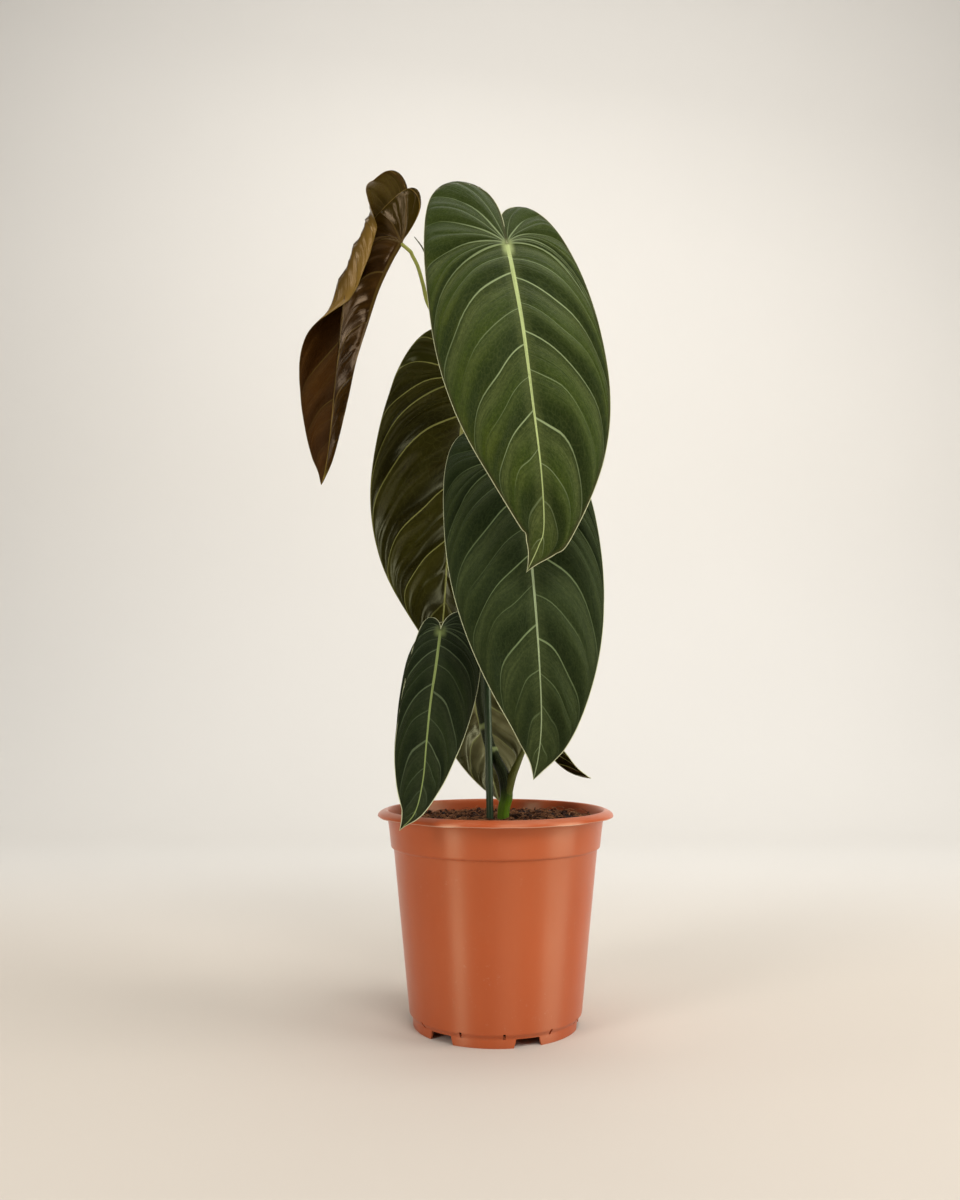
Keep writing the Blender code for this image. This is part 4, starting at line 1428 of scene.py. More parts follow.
LEAVES = {
    "top_front": LeafBlade(
        name="blade_top_front",
        midrib=(
            (0.010, -0.066, 0.616),
            (0.016, -0.080, 0.578),
            (0.022, -0.093, 0.534),
            (0.028, -0.104, 0.478),
            (0.034, -0.108, 0.423),
            (0.036, -0.104, 0.382),
            (0.032, -0.101, 0.367),
            (0.023, -0.097, 0.348),
        ),
        faces=((0.0, (0.05, -0.95, 0.28)), (0.5, (0.05, -1.0, 0.1)), (1.0, (0.05, -1.0, -0.1))),
        left=Half(width=0.071, widest=0.22, lobe=0.079, lobe_x=0.66, taper=1.2, curl=10, bends=PLAIN),
        right=Half(
            width=0.064, widest=0.41, lobe=0.042, lobe_x=0.26, taper=1.1, curl=10,
            bends=PLAIN, painted_sheen=0.72,
        ),
        finish=MID_LEAF,
        sinus=10.0,
    ),
    "middle_front": LeafBlade(
        name="blade_middle_front",
        phase=1.3,
        midrib=(
            (0.019, -0.038, 0.445),
            (0.025, -0.060, 0.394),
            (0.030, -0.080, 0.330),
            (0.033, -0.088, 0.277),
            (0.034, -0.088, 0.240),
            (0.032, -0.085, 0.215),
            (0.028, -0.082, 0.196),
        ),
        faces=((0.0, (0.0, -0.92, 0.35)), (0.5, (0.05, -1.0, 0.1)), (1.0, (0.05, -1.0, -0.1))),
        left=Half(width=0.067, widest=0.22, lobe=0.046, lobe_x=0.60, taper=1.1, curl=20, bends=PLAIN),
        right=Half(
            width=0.058, widest=0.30, lobe=0.038, lobe_x=0.50, taper=0.88, curl=20,
            bends=PLAIN, painted_sheen=0.60,
        ),
        finish=DARK_LEAF,
    ),
    "low_left": LeafBlade(
        name="blade_low_left",
        phase=2.6,
        midrib=(
            (-0.043, -0.038, 0.311),
            (-0.045, -0.058, 0.285),
            (-0.049, -0.072, 0.250),
            (-0.051, -0.082, 0.222),
            (-0.053, -0.088, 0.196),
            (-0.058, -0.095, 0.174),
            (-0.069, -0.098, 0.161),
        ),
        faces=((0.0, (0.2, -0.9, 0.4)), (0.5, (0.2, -1.0, 0.1)), (1.0, (0.2, -1.0, 0.0))),
        left=Half(
            width=0.026, widest=0.52, lobe=0.014, lobe_x=0.40, taper=0.9, curl=10,
            bends=((-0.2, 8, 45), (0.5, 8, 50), (1.0, 0, 20)),
        ),
        right=Half(width=0.037, widest=0.20, lobe=0.026, lobe_x=0.55, taper=1.4, curl=10, bends=PLAIN),
        finish=SHADED_LEAF,
        quilt=0.8,
    ),
    "back_left": LeafBlade(
        name="blade_back_left",
        phase=3.9,
        midrib=(
            (-0.025, 0.038, 0.535),
            (-0.029, 0.052, 0.501),
            (-0.038, 0.070, 0.436),
            (-0.043, 0.074, 0.386),
            (-0.046, 0.072, 0.336),
            (-0.050, 0.066, 0.289),
        ),
        faces=((0.0, (0.0, 0.9, 0.4)), (0.5, (0.0, 1.0, 0.1)), (1.0, (0.0, 1.0, -0.1))),
        left=Half(width=0.070, widest=0.30, lobe=0.045, lobe_x=0.45, taper=1.1, curl=20, bends=PLAIN),
        right=Half(width=0.077, widest=0.35, lobe=0.047, lobe_x=0.33, taper=1.12, curl=20, bends=PLAIN),
        finish=BACK_LEAF,
        quilt=1.7,
    ),
    "new_bronze": LeafBlade(
        name="blade_new_bronze",
        phase=5.1,
        midrib=(
            (-0.081, -0.005, 0.645),
            (-0.090, -0.002, 0.630),
            (-0.101, 0.000, 0.606),
            (-0.110, 0.002, 0.578),
            (-0.120, 0.004, 0.545),
            (-0.126, 0.004, 0.514),
            (-0.132, 0.002, 0.483),
            (-0.138, -0.002, 0.455),
            (-0.145, -0.008, 0.434),
        ),
        faces=((0.0, (-0.956, 0.123, 0.231)), (1.0, (-0.94, 0.07, -0.09))),
        left=Half(
            width=0.058, widest=0.20, lobe=0.050, lobe_x=0.70, taper=0.85, curl=0,
            bends=(
                (-0.30, -82, -15),
                (-0.16, -82, -20),
                (-0.08, -82, -100),
                (0.00, -82, -170),
                (0.10, -82, -188),
                (0.22, -81, -192),
                (0.28, -79, -180),
                (0.36, -75, -140),
                (0.45, -71, -85),
                (0.55, -73, -40),
                (0.68, -81, 0),
                (1.00, -75, 0),
            ),
            pale=1.0,
            roll_from=0.34,
            roll_to=0.88,
        ),
        right=Half(
            width=0.022, widest=0.30, lobe=0.043, lobe_x=1.27, taper=0.8, curl=0,
            bends=(
                (-0.30, -63, -25),
                (-0.05, -71, -15),
                (0.05, -81, 0),
                (0.20, -81, 0),
                (0.33, -47, -5),
                (0.48, -17, -20),
                (1.00, -5, -20),
            ),
            splay=-0.30,
            bulge=0.008,
        ),
        finish=BRONZE_LEAF,
        slot=Slot.BRONZE,
        quilt=0.8,
        rim_radius=0.22 * MM,
    ),
    "low_back": LeafBlade(
        name="blade_low_back",
        phase=6.4,
        midrib=(
            (-0.026, 0.034, 0.306),
            (-0.021, 0.046, 0.270),
            (-0.013, 0.052, 0.233),
            (-0.005, 0.051, 0.199),
            (0.003, 0.046, 0.169),
        ),
        faces=((0.0, (0.0, 0.9, 0.4)), (0.5, (0.0, 1.0, 0.1)), (1.0, (0.0, 1.0, -0.1))),
        left=Half(width=0.044, widest=0.34, lobe=0.020, lobe_x=0.50, taper=0.9, curl=10, bends=PLAIN),
        right=Half(width=0.038, widest=0.30, lobe=0.020, lobe_x=0.50, taper=1.0, curl=10, bends=PLAIN),
        finish=SMALL_LEAF,
        quilt=1.2,
    ),
    "low_right": LeafBlade(
        name="blade_low_right",
        phase=7.7,
        midrib=(
            (0.031, 0.014, 0.233),
            (0.040, 0.020, 0.219),
            (0.050, 0.024, 0.207),
            (0.060, 0.027, 0.198),
            (0.070, 0.029, 0.193),
            (0.081, 0.030, 0.190),
        ),
        faces=((0.0, (0.6, 0.0, 0.8)), (1.0, (0.5, 0.0, 0.85))),
        left=Half(
            width=0.022, widest=0.30, lobe=0.012, lobe_x=0.50, taper=1.1, curl=10,
            bends=((-0.2, -28, 10), (1.0, -28, 10)),
        ),
        right=Half(
            width=0.022, widest=0.30, lobe=0.012, lobe_x=0.50, taper=1.1, curl=10,
            bends=((-0.2, -28, 10), (1.0, -28, 10)),
        ),
        finish=DARK_LEAF,
        quilt=0.6,
    ),
}


@dataclass
class Foliage(Assembly):
    """The seven leaf blades."""

    blades: dict[str, LeafBlade] = field(default_factory=lambda: dict(LEAVES))

    def build(self) -> None:
        """Make every blade and put it in place of its node."""
        finishes: dict[str, bpy.types.Material] = {}
        for key, blade in self.blades.items():
            pair = []
            for side in (blade.finish.upper, blade.finish.under):
                if side.name not in finishes:
                    finishes[side.name] = side.make()
                pair.append(finishes[side.name])
            self.keep(new_object(blade.name, blade.mesh(), pair), blade.slot, "leaf_" + key)


@dataclass(frozen=True)
class Petiole:
    """A leaf stalk: its route in millimetres and its radius at the foot and at the blade."""

    route: tuple[tuple[float, float, float], ...]
    foot: float
    end: float


@dataclass
class Climber(Assembly):
    """The vine, the leaf stalks and the sheath of the newest leaf.

    The points of the vine and the sheath hold a place and a radius, in millimetres.
    """

    vine: tuple[tuple[float, float, float, float], ...] = (
        (6.0, 1.0, 105.0, 4.6),
        (6.2, 0.5, 160.0, 4.8),
        (9.0, 0.5, 178.0, 5.2),
        (7.0, 2.0, 193.0, 5.0),
        (1.5, 5.5, 205.0, 4.4),
        (-4.3, 9.5, 217.0, 4.6),
        (-9.0, 10.5, 236.0, 4.2),
        (-12.5, 10.5, 257.0, 4.0),
        (-13.0, 10.0, 288.0, 4.4),
        (-12.5, 9.5, 315.0, 3.8),
        (-12.0, 9.5, 343.0, 4.2),
        (-12.0, 9.0, 372.0, 3.6),
        (-12.0, 9.0, 403.0, 4.0),
        (-12.5, 9.0, 428.0, 3.5),
        (-12.5, 9.0, 453.0, 3.8),
        (-13.0, 9.0, 492.0, 3.3),
        (-15.0, 7.0, 528.0, 3.3),
    )
    joints_mm: tuple[float, ...] = (217.0, 238.0, 290.0, 345.0, 405.0, 455.0, 518.0)
    petioles: dict[str, Petiole] = field(default_factory=lambda: {
        "top_front": Petiole(
            (
                (-12.5, 9.0, 453.0),
                (-4.0, 9.5, 463.0),
                (3.0, 4.0, 490.0),
                (8.0, -8.0, 540.0),
                (10.0, -28.0, 588.0),
            ),
            foot=3.2,
            end=2.2,
        ),
        "middle_front": Petiole(
            (
                (-12.0, 9.5, 343.0),
                (-3.0, 9.5, 350.0),
                (6.0, 4.0, 375.0),
                (13.0, -4.0, 408.0),
                (17.0, -16.0, 432.0),
            ),
            foot=3.4,
            end=2.2,
        ),
        "low_left": Petiole(
            (
                (-13.0, 10.0, 288.0),
                (-20.0, 8.0, 292.0),
                (-28.0, -2.0, 304.0),
                (-37.0, -17.0, 312.0),
            ),
            foot=3.2,
            end=1.7,
        ),
        "back_left": Petiole(
            (
                (-12.0, 9.0, 403.0),
                (-10.5, 16.0, 408.0),
                (-9.0, 21.0, 432.0),
                (-13.0, 25.0, 480.0),
                (-20.0, 27.0, 518.0),
            ),
            foot=3.3,
            end=2.2,
        ),
        "new_bronze": Petiole(
            (
                (-14.0, 8.0, 518.0),
                (-16.5, 5.0, 538.0),
                (-23.0, -2.0, 550.0),
                (-35.0, -6.0, 562.0),
                (-49.0, -7.0, 578.0),
                (-57.0, -6.0, 592.0),
                (-61.0, -5.0, 608.0),
                (-65.5, -4.0, 624.0),
                (-70.5, -4.0, 634.5),
            ),
            foot=2.9,
            end=1.6,
        ),
        "low_back": Petiole(
            (
                (-9.0, 10.5, 236.0),
                (-10.5, 18.0, 241.0),
                (-15.0, 22.0, 258.0),
                (-21.0, 21.0, 278.0),
                (-25.5, 20.0, 294.0),
            ),
            foot=3.0,
            end=1.6,
        ),
        "low_right": Petiole(
            (
                (7.6, 0.0, 166.0),
                (9.6, -0.2, 180.0),
                (13.6, -0.4, 193.0),
                (19.0, 2.6, 205.0),
                (24.0, 8.0, 217.0),
            ),
            foot=5.4,
            end=1.9,
        ),
    })
    sheath: tuple[tuple[float, float, float, float], ...] = (
        (-33.0, -5.5, 560.5, 1.6),
        (-33.5, -1.0, 570.0, 2.2),
        (-40.0, 0.5, 585.0, 2.2),
        (-49.0, 0.5, 607.0, 1.9),
        (-56.0, 0.5, 628.0, 1.5),
        (-62.0, 0.5, 643.0, 1.0),
        (-69.0, 0.5, 653.0, 0.5),
    )
    gap: float = 0.3 * MM
    foot_share: float = 0.72

    def vine_swell(self, share: Array, angle: Array) -> Array:
        """Swell the vine at its nodes and flute it a little.

        Args:
            share: Shares of its length.
            angle: Angles round it.

        Returns:
            What the radius is multiplied by.
        """
        first, last = self.vine[0][2], self.vine[-1][2]
        height = first + (last - first) * share
        swell = np.ones_like(share)
        for level in self.joints_mm:
            swell = swell + 0.16 * bell(height, level, 2.6)
            swell = swell - 0.05 * bell(height, level + 6.0, 3.0)
        return swell + 0.02 * np.sin(angle * 5.0 + height * 0.02)

    def petiole_route(self, key: str) -> tuple[Array, Array]:
        """Find a stalk's route, up to the underside of its blade.

        Args:
            key: The leaf's key.

        Returns:
            The route and the radius at each of its points.
        """
        stalk, leaf = self.petioles[key], LEAVES[key]
        points = [np.array(point) * MM for point in stalk.route]
        spot, ahead, up, _ = leaf.along_line(np.zeros(1))
        seat = spot[0] - up[0] * (leaf.rib_thickness + self.gap + 0.1 * MM)
        points.append(seat - up[0] * 9.0 * MM + ahead[0] * 2.0 * MM)
        points.append(seat + up[0] * MM)
        shares = np.linspace(0.0, 1.0, len(points))
        radii = stalk.foot + (stalk.end - stalk.foot) * np.minimum(1.0, shares * 1.6)
        radii[0] *= self.foot_share
        return np.array(points), radii * MM

    def build(self) -> None:
        """Make the vine, each stalk and the sheath."""
        plain = PETIOLE_SKIN.make()
        special = {"new_bronze": YOUNG_SKIN.make(), "low_right": DARK_SKIN.make()}
        vine = np.array(self.vine) * MM
        body = Tube("vine", vine[:, :3], vine[:, 3], 28, 0.9 * MM, self.vine_swell)
        self.keep(new_object(body.name, body.mesh(), [VINE_SKIN.make()]), Slot.VINE, "stem")
        for key in self.petioles:
            route, radii = self.petiole_route(key)
            finish = special.get(key, plain)
            stalk = Tube("stalk_" + key, route, radii)
            self.keep(new_object(stalk.name, stalk.mesh(), [finish]), Slot.PETIOLE, "petiole_" + key)
        sheath = np.array(self.sheath) * MM
        case = Tube("young_sheath", sheath[:, :3], sheath[:, 3], 16, 0.8 * MM, keeled)
        self.keep(new_object(case.name, case.mesh(), [SHEATH_SKIN.make()]), Slot.PETIOLE, "new_leaf_sheath")


@dataclass
class Support(Assembly):
    """The stake in the soil and the soft ties that hold the vine to it.

    The stake's two ends are in millimetres.
    """

    foot: tuple[float, float, float] = (-1.5, 0.0, 22.0)
    top: tuple[float, float, float] = (-12.9, 0.0, 588.0)
    radius: float = 2.9 * MM
    tie_heights: tuple[float, ...] = (0.301, 0.472)
    tie_radius: float = 1.1 * MM
    gap: float = 0.6 * MM

    def tie_route(self, vine: Array, height: float) -> Array:
        """Lay a loop round the vine and the stake.

        Args:
            vine: The vine's places and radii, in metres.
            height: The loop's level.

        Returns:
            Points of the loop.
        """
        middle = np.array([np.interp(height, vine[:, 2], vine[:, i]) for i in range(4)])
        foot, top = np.array(self.foot) * MM, np.array(self.top) * MM
        stake = foot + (top - foot) * (height - foot[2]) / (top[2] - foot[2])
        reach = self.tie_radius + self.gap
        facing = math.atan2(stake[1] - middle[1], stake[0] - middle[0])
        far_sides = (
            (middle, middle[3] + reach, facing + math.pi),
            (stake, self.radius + reach, facing),
        )
        points = []
        for centre, radius, base in far_sides:
            for turn in (-80, -40, 0, 40, 80):
                angle = base + math.radians(turn)
                x, y = centre[0] + radius * math.cos(angle), centre[1] + radius * math.sin(angle)
                points.append((x, y, height))
        return np.array(points)

    def build(self, vine: Array) -> None:
        """Make the stake and the ties.

        Args:
            vine: The vine's places and radii, in metres.
        """
        coat = STAKE_COAT.make()
        foot, top = np.array(self.foot) * MM, np.array(self.top) * MM
        shares = np.linspace(0.0, 1.0, 12)[:, None]
        route = foot + (top - foot) * shares
        rod = Tube("stake", route, np.full(len(route), self.radius), 24, 1.5 * MM, threaded)
        self.keep(new_object(rod.name, rod.mesh(), [coat]), Slot.STAKE, "support_stake")
        rubber = TIE_RUBBER.make()
        for number, height in enumerate(self.tie_heights, start=1):
            route = self.tie_route(vine, height)
            radii = np.full(len(route), self.tie_radius)
            tie = Tube("tie_%d" % number, route, radii, 14, 0.5 * MM, twisted, closed=True)
            self.keep(new_object(tie.name, tie.mesh(), [rubber]), Slot.TIE, "soft_tie_%d" % number)


@dataclass
class NurseryPot(Assembly):
    """The moulded pot: rolled lip, raised collar, tapered wall, chamfer and notched foot ring.

    Sizes are in millimetres and the places and widths of notches and slots in degrees.
    """

    rim: float = 95.0
    top: float = 167.5
    foot: float = 66.0
    wall: float = 1.4
    sides: int = 240
    notch_count: int = 6
    notch_first: float = -68.5
    notch_half: float = 10.0
    slot_offset: float = 16.0
    slot_half: float = 0.9

    def profile(self) -> list[tuple[float, float]]:
        """Lay out the section of the wall, from the inside centre round to the underside.

        Returns:
            Radius and height of each point, in millimetres.
        """
        rim, top, foot, wall = self.rim, self.top, self.foot, self.wall
        lip = [
            (rim - 8.2, top - 1.2),
            (rim - 7.6, top - 0.35),
            (rim - 6.8, top),
            (rim - 5.8, top - 0.1),
            (rim - 3.4, top - 1.0),
            (rim - 1.4, top - 2.1),
            (rim - 0.5, top - 2.9),
            (rim - 0.1, top - 3.6),
            (rim, top - 4.2),
            (rim + 0.15, top - 4.7),
            (rim - 0.15, top - 5.0),
            (rim - 0.8, top - 4.8),
            (rim - 1.2, top - 4.2),
            (rim - 1.9, top - 3.6),
        ]
        return [
            (0.0, 8.0),
            (34.0, 8.0),
            (foot - 1.8, 8.0),
            (67.2 - wall, 9.2),
            (68.7 - wall, 11.2),
            (75.0 - wall, 72.0),
            (81.9 - wall, 135.2),
            (82.4 - wall, 136.8),
            (84.3 - wall, 138.0),
            (rim - 8.9, 163.0),
            *lip,
            (rim - 4.0, top - 2.6),
            (rim - 6.2, top - 2.5),
            (rim - 7.0, top - 3.2),
            (rim - 7.5, top - 4.8),
            (85.9, 152.0),
            (84.4, 139.4),
            (84.15, 138.4),
            (83.6, 137.9),
            (82.4, 137.2),
            (82.0, 136.4),
            (75.3, 73.4),
            (68.75, 11.2),
            (68.5, 10.2),
            (68.0, 9.6),
            (foot + 0.7, 8.0),
            (foot + 0.15, 7.2),
            (foot, 6.2),
            (foot - 0.25, 0.6),
            (foot - 0.55, 0.0),
            (foot - 1.5, 0.0),
            (foot - 1.7, 0.6),
            (foot - 1.9, 5.8),
            (34.0, 6.4),
            (0.0, 6.4),
        ]

    def turned(self) -> bpy.types.Mesh:
        """Turn the section round the axis.

        Returns:
            The mesh, before the notches are cut.
        """
        section = np.array(self.profile()) * MM
        angle = np.linspace(0.0, 2.0 * np.pi, self.sides, endpoint=False)
        radius, height = section[:, :1], section[:, 1:]
        at_edge = np.abs(height - (self.top - 4.8) * MM) < 0.4 * MM
        flash = bell(radius, self.rim * MM, 0.6 * MM) * at_edge
        ragged = np.sin(angle * 7.0) + np.sin(angle * 17.0 + 1.0)
        ragged = ragged + np.sign(np.sin(angle * 11.0 + 2.0)) * 0.8
        height = height + flash * ragged * 0.13 * MM
        places = np.stack([radius * np.cos(angle), radius * np.sin(angle), height], -1)
        faces = grid_faces(np.arange(height.size).reshape(height.shape), closed=True)
        edge = np.broadcast_to(flash, height.shape).ravel()
        mesh = mesh_of("nursery_pot", places.reshape(-1, 3), faces, {"edge": edge})
        weld(mesh, WIDE_WELD)
        return mesh

    def cutters(self) -> bpy.types.Object:
        """Make the shapes of the drain notches and of the small slots beside them.

        Returns:
            One object that holds them all.
        """
        shape = bmesh.new()
        for i in range(self.notch_count):
            middle = math.radians(self.notch_first + i * 360.0 / self.notch_count)
            half = math.radians(self.notch_half)
            self.wedge(shape, (middle - half, middle + half), (56.0, 69.0), (-1.0, 6.6), 0.82)
            for side in (-1.0, 1.0):
                at = middle + side * math.radians(self.slot_offset)
                width = math.radians(self.slot_half)
                self.wedge(shape, (at - width, at + width), (65.2, 70.0), (6.6, 11.0), 0.9)
        mesh = bpy.data.meshes.new("pot_cutters")
        shape.to_mesh(mesh)
        shape.free()
        cutter = bpy.data.objects.new("pot_cutters", mesh)
        bpy.context.scene.collection.objects.link(cutter)
        return cutter

    @staticmethod
    def wedge(
        shape: bmesh.types.BMesh,
        turns: tuple[float, float],
        radii: tuple[float, float],
        heights: tuple[float, float],
        narrow: float,
    ) -> None:
        """Add a block bounded by two angles, two radii and two heights.

        Args:
            shape: What it is added to.
            turns: Its first and last angle.
            radii: Its inner and outer radius in millimetres.
            heights: Its lower and upper height in millimetres.
            narrow: The width at the top as a share of that at the bottom.
        """
        middle, half = (turns[0] + turns[1]) / 2.0, (turns[1] - turns[0]) / 2.0
        corners = []
        for height, share in zip(heights, (1.0, narrow)):
            for radius in radii:
                for side in (-1.0, 1.0):
                    angle = middle + side * half * share
                    place = (radius * math.cos(angle), radius * math.sin(angle), height)
                    corners.append(shape.verts.new(Vector(place) * MM))
        for face in BLOCK_FACES:
            shape.faces.new([corners[i] for i in face])
        bmesh.ops.recalc_face_normals(shape, faces=shape.faces)

    def build(self) -> None:
        """Make the pot."""
        pot = new_object("nursery_pot", self.turned(), [POT_PLASTIC.make()])
        cutter = self.cutters()
        cut = pot.modifiers.new("notches", "BOOLEAN")
        cut.operation = "DIFFERENCE"
        cut.solver = "EXACT"
        cut.object = cutter
        result = bpy.data.meshes.new_from_object(pot.evaluated_get(bpy.context.evaluated_depsgraph_get()))
        pot.modifiers.clear()
        pot.data = result
        bpy.data.objects.remove(cutter)
        result.set_sharp_from_angle(angle=math.radians(38.0))
        self.keep(pot, Slot.POT, "pot")


@dataclass
class PottingMix(Assembly):
    """The soil: a lumpy bed with bark crumbs, coir fibres and a few white grains.

    The points of its side and bottom hold a radius and a height, in millimetres.
    """

    level: float = 158.5 * MM
    radius: float = 84.4 * MM
    rings: int = 110
    spokes: int = 260
    crumbs: int = 520
    fibres: int = 1500
    grains: int = 46
    seed: int = 11
    below: tuple[tuple[float, float], ...] = (
        (82.4, 138.3),
        (80.2, 136.3),
        (67.0, 11.6),
        (64.0, 8.5),
        (0.0, 8.4),
    )

    def height(self, x: float, y: float) -> float:
        """Height of the bed at a place.

        Args:
            x: Metres from the axis.
            y: Metres from the axis.

        Returns:
            The height in metres.
        """
        spot = Vector((x, y, 0.0))
        lump = noise.noise(spot * 38.0) * 1.7 + noise.noise(spot * 95.0) * 1.3
        crumb = noise.noise(spot * 260.0) * 0.9 + noise.noise(spot * 620.0) * 0.45
        edge = max(0.0, math.hypot(x, y) / self.radius - 0.86) * 14.0
        rise = 2.2 * math.exp(-((x - 0.060) ** 2 + (y - 0.030) ** 2) / 0.0009)
        return self.level + (lump + crumb - edge + rise) * MM

    def bed(self) -> bpy.types.Mesh:
        """Make the bed as a closed body: lumpy top, tapered side and flat bottom.

        Returns:
            The mesh.
        """
        shares = np.linspace(0.0, 1.0, self.rings) ** 0.85
        angle = np.linspace(0.0, 2.0 * np.pi, self.spokes, endpoint=False)
        places = []
        for share in shares:
            radius = share * self.radius
            for turn in angle:
                x, y = radius * math.cos(turn), radius * math.sin(turn)
                places.append((x, y, self.height(x, y)))
        for radius, level in self.below:
            for turn in angle:
                places.append((radius * MM * math.cos(turn), radius * MM * math.sin(turn), level * MM))
        grid = np.arange(len(places)).reshape(-1, self.spokes)
        faces = grid_faces(grid, closed=True, flip=True)
        mesh = mesh_of("soil_bed", np.array(places), faces, {"tone": np.zeros(len(places))})
        weld(mesh, FINE_WELD)
        return mesh

    def scatter(self, rng: np.random.Generator, count: int) -> Array:
        """Draw places on the bed, thinned out near the vine and the stake.

        Args:
            rng: Source of random numbers.
            count: How many.

        Returns:
            Places on the bed.
        """
        spots = []
        while len(spots) < count:
            radius = self.radius * 0.97 * math.sqrt(rng.random())
            turn = rng.random() * 2.0 * math.pi
            x, y = radius * math.cos(turn), radius * math.sin(turn)
            if math.hypot(x - 0.006, y) > 0.0065:
                spots.append((x, y, self.height(x, y)))
        return np.array(spots)

    def crumb_mesh(
        self, name: str, count: int, sizes: tuple[float, float], rng: np.random.Generator, sink: float
    ) -> bpy.types.Mesh:
        """Make irregular crumbs as one mesh.

        Args:
            name: The mesh's name.
            count: How many crumbs.
            sizes: Least and greatest half length in millimetres.
            rng: Source of random numbers.
            sink: How far they sit in the bed, as a share of their size.

        Returns:
            The mesh.
        """
        seed_shape = bmesh.new()
        bmesh.ops.create_icosphere(seed_shape, subdivisions=1, radius=1.0)
        ball = np.array([tuple(v.co) for v in seed_shape.verts])
        tris = np.array([[v.index for v in f.verts] for f in seed_shape.faces])
        seed_shape.free()
        places, faces, tones = [], [], []
        for i, spot in enumerate(self.scatter(rng, count)):
            size = sizes[0] + (sizes[1] - sizes[0]) * rng.random() ** 2.2
            stretch = np.array([1.0, 0.35 + 0.5 * rng.random(), 0.25 + 0.4 * rng.random()]) * size * MM
            axes = np.linalg.qr(rng.normal(size=(3, 3)))[0]
            lumps = ball * (0.75 + 0.5 * rng.random((len(ball), 1))) * stretch
            places.append(lumps @ axes + spot + np.array([0.0, 0.0, size * MM * (0.4 - sink)]))
            faces.append(tris + i * len(ball))
            tones.append(np.full(len(ball), rng.random()))
        return mesh_of(name, np.vstack(places), np.vstack(faces), {"tone": np.concatenate(tones)})

    def fibre_mesh(self, name: str, count: int, rng: np.random.Generator) -> bpy.types.Mesh:
        """Make curved coir fibres as one mesh.

        Args:
            name: The mesh's name.
            count: How many fibres.
            rng: Source of random numbers.

        Returns:
            The mesh.
        """
        places, faces, tones = [], [], []
        base = 0
        for spot in self.scatter(rng, count):
            length = (4.0 + 13.0 * rng.random() ** 1.6) * MM
            heading = rng.random() * 2.0 * math.pi
            bend = (rng.random() - 0.5) * 3.4
            lift = rng.random() ** 1.6
            points = [np.array(spot)]
            for step in range(7):
                angle = heading + bend * step / 7.0
                climb = math.sin(lift) * math.cos(step / 6.0 * math.pi)
                ahead = np.array([math.cos(angle), math.sin(angle), climb])
                points.append(points[-1] + ahead * length / 7.0)
            line = np.array(points)
            outside = np.hypot(line[:, 0], line[:, 1]) > self.radius * 0.985
            if outside.any():
                continue
            thick = (0.14 + 0.22 * rng.random()) * MM
            fibre = Tube(name, line, np.full(len(line), thick), 4, length / 7.0, blunt=False)
            body = fibre.mesh()
            count_points = len(body.vertices)
            flat = np.empty(count_points * 3)
            body.vertices.foreach_get("co", flat)
            places.append(flat.reshape(-1, 3))
            faces.append(np.array([list(p.vertices) for p in body.polygons]) + base)
            tones.append(np.full(count_points, rng.random()))
            base += count_points
            bpy.data.meshes.remove(body)
        return mesh_of(name, np.vstack(places), np.vstack(faces), {"tone": np.concatenate(tones)})

    def build(self) -> None:
        """Make the bed, its crumbs, fibres and white grains."""
        rng = np.random.default_rng(self.seed)
        self.keep(new_object("soil_bed", self.bed(), [POTTING_MIX.make()]), Slot.SOIL, "soil")
        crumbs = self.crumb_mesh("soil_crumbs", self.crumbs, (0.7, 3.8), rng, 0.1)
        self.keep(new_object("soil_crumbs", crumbs, [BARK_CRUMB.make()]), Slot.SOIL)
        fibres = self.fibre_mesh("soil_fibres", self.fibres, rng)
        self.keep(new_object("soil_fibres", fibres, [COIR_FIBRE.make()]), Slot.SOIL)
        grains = self.crumb_mesh("soil_grains", self.grains, (0.5, 1.3), rng, 0.2)
        self.keep(new_object("soil_grains", grains, [WHITE_GRAIN.make()]), Slot.SOIL)


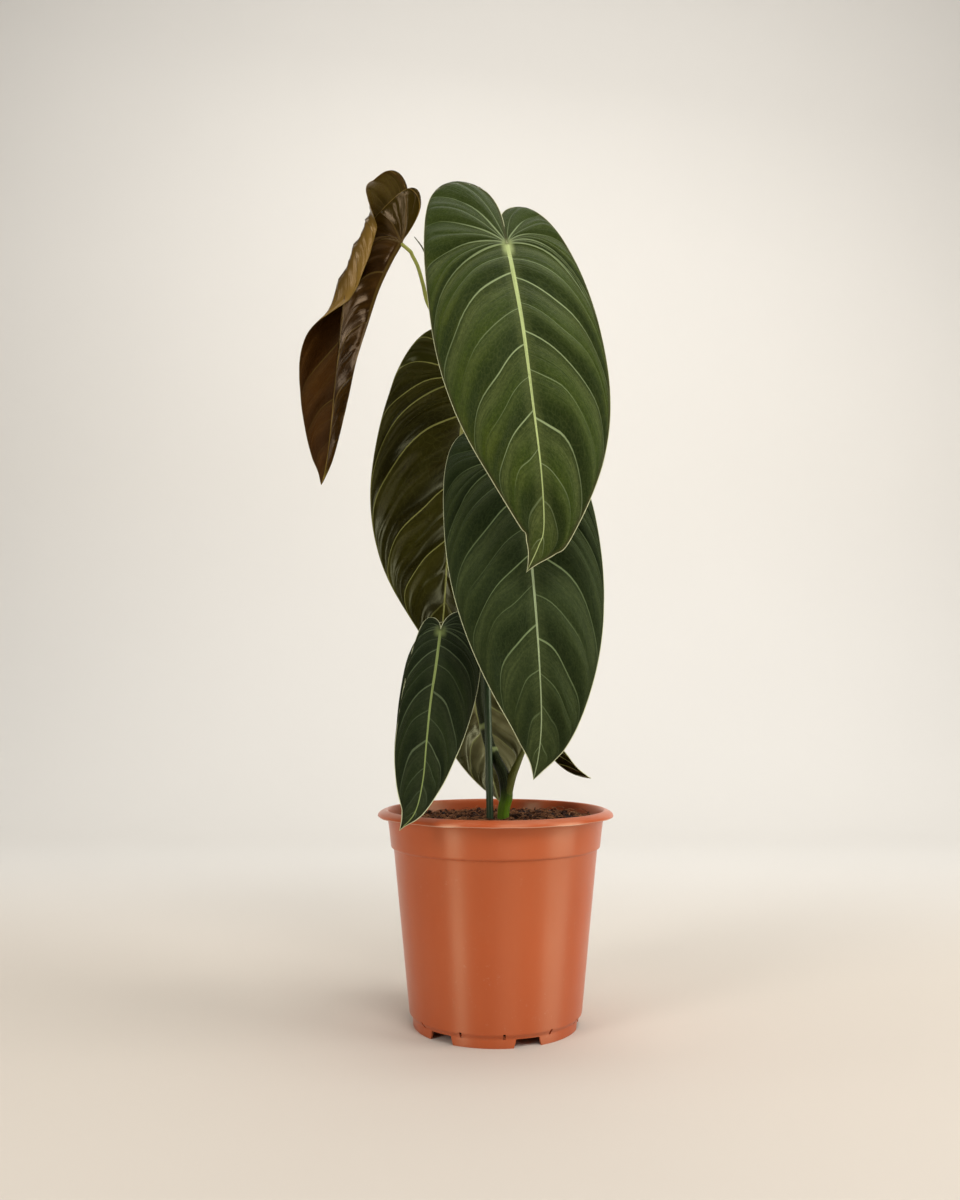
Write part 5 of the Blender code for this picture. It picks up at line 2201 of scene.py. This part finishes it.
@dataclass
class Studio:
    """Pale sweep, soft lights and the camera at the photograph's angle, in metres and degrees."""

    axis: Vector
    distance: float = 0.850
    eye_height: float = 0.2505
    pitch: float = 5.87
    yaw: float = 0.84
    focal_pixels: float = 1029.0
    frame_pixels: float = 1200.0

    def sweep(self) -> None:
        """Lay the floor and curve it up into a back wall."""
        section = [(-3.0, 0.0)]
        radius, start = 0.9, 1.1
        for degrees in range(0, 91, 6):
            angle = math.radians(degrees)
            section.append((start + radius * math.sin(angle), radius * (1.0 - math.cos(angle))))
        section.append((start + radius, 4.0))
        places = [(x, y, z) for y, z in section for x in (-5.0, 5.0)]
        faces = [(2 * i, 2 * i + 1, 2 * i + 3, 2 * i + 2) for i in range(len(section) - 1)]
        mesh = mesh_of("studio_sweep", np.array(places), np.array(faces), {})
        s = Shader("studio_paper")
        mottle = s.span(s.cloud(1.5, 2.0), 0.3, 0.7, 0.0, 0.5)
        # One paper, coloured darker and warmer over the front of the floor and paler from the back of the
        # floor up the wall: painted shade and painted light, blended in between.
        low = s.mix(mottle, (0.640, 0.580, 0.505), (0.660, 0.600, 0.525))
        high = s.mix(mottle, (0.800, 0.775, 0.730), (0.820, 0.795, 0.750))
        tint = s.mix(s.span(s.axis(s.place(), "Y"), 0.03, 0.98), low, high)
        paper = s.done(tint, 0.85, None, Specular_IOR_Level=0.2)
        floor = new_object("studio_sweep", mesh, [paper])
        LOG.info("studio sweep laid")

    def lamp(
        self, name: str, place: Vector, aim: Vector, size: tuple[float, float], power: float, tint: Colour
    ) -> None:
        """Hang an area light.

        Args:
            name: The light's name.
            place: Where it hangs.
            aim: What it points at.
            size: Its width and height.
            power: Its power in watts.
            tint: Its colour.
        """
        light = bpy.data.lights.new(name, "AREA")
        light.shape = "RECTANGLE"
        light.size, light.size_y = size
        light.energy = power
        light.color = tint
        lamp = bpy.data.objects.new(name, light)
        lamp.location = place
        lamp.rotation_euler = (aim - place).to_track_quat("-Z", "Y").to_euler()
        bpy.context.scene.collection.objects.link(lamp)

    def build(self) -> None:
        """Set up the sweep, the lights, the surrounding light and the camera."""
        self.sweep()
        middle = self.axis + Vector((0.0, 0.0, 0.35))
        side = self.axis + Vector((1.95, -0.55, 0.85))
        self.lamp("key", side, middle, (1.15, 1.6), 31.5, (1.0, 0.985, 0.96))
        left = self.axis + Vector((-1.45, -1.50, 0.85))
        self.lamp("fill", left, middle, (0.6, 1.6), 20.0, (1.0, 0.98, 0.95))
        front = self.axis + Vector((0.55, -1.60, 1.9))
        self.lamp("front", front, middle, (1.0, 0.9), 22.0, (1.0, 0.985, 0.96))
        above = self.axis + Vector((0.3, 0.45, 2.4))
        self.lamp("top", above, middle, (1.8, 1.2), 12.0, (1.0, 0.985, 0.96))
        wall = self.axis + Vector((0.0, 2.0, 0.60))
        behind = self.axis + Vector((-0.05, 0.15, 2.50))
        self.lamp("wall", behind, wall, (3.0, 1.0), 26.0, (1.0, 0.985, 0.965))
        world = bpy.data.worlds.new("studio_air")
        world.use_nodes = True
        air = world.node_tree.nodes["Background"]
        air.inputs["Color"].default_value = (1.0, 0.96, 0.90, 1.0)
        air.inputs["Strength"].default_value = 0.10
        bpy.context.scene.world = world
        bpy.context.scene.view_settings.view_transform = "Standard"
        lens = bpy.data.cameras.new("camera")
        lens.sensor_width = 36.0
        lens.lens = self.focal_pixels / self.frame_pixels * lens.sensor_width
        camera = bpy.data.objects.new("camera", lens)
        camera.location = self.axis + Vector((0.0, -self.distance, self.eye_height))
        camera.rotation_euler = (math.radians(90.0 + self.pitch), 0.0, math.radians(self.yaw))
        bpy.context.scene.collection.objects.link(camera)
        bpy.context.scene.camera = camera
        LOG.info("camera and lights set")


def pot_axis() -> Vector:
    """Where the pot's axis meets the floor, from the frame."""
    low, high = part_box("pot")
    return Vector(((low.x + high.x) / 2.0, (low.y + high.y) / 2.0, 0.0))


def main() -> None:
    """Build the sub-assemblies in order."""
    logging.basicConfig(level=logging.INFO, format="%(name)s: %(message)s")
    axis = pot_axis()
    NurseryPot(axis).build()
    PottingMix(axis).build()
    climber = Climber(axis)
    climber.build()
    Support(axis).build(np.array(climber.vine) * MM)
    Foliage(axis).build()
    Studio(axis).build()


if __name__ == "__main__":
    main()
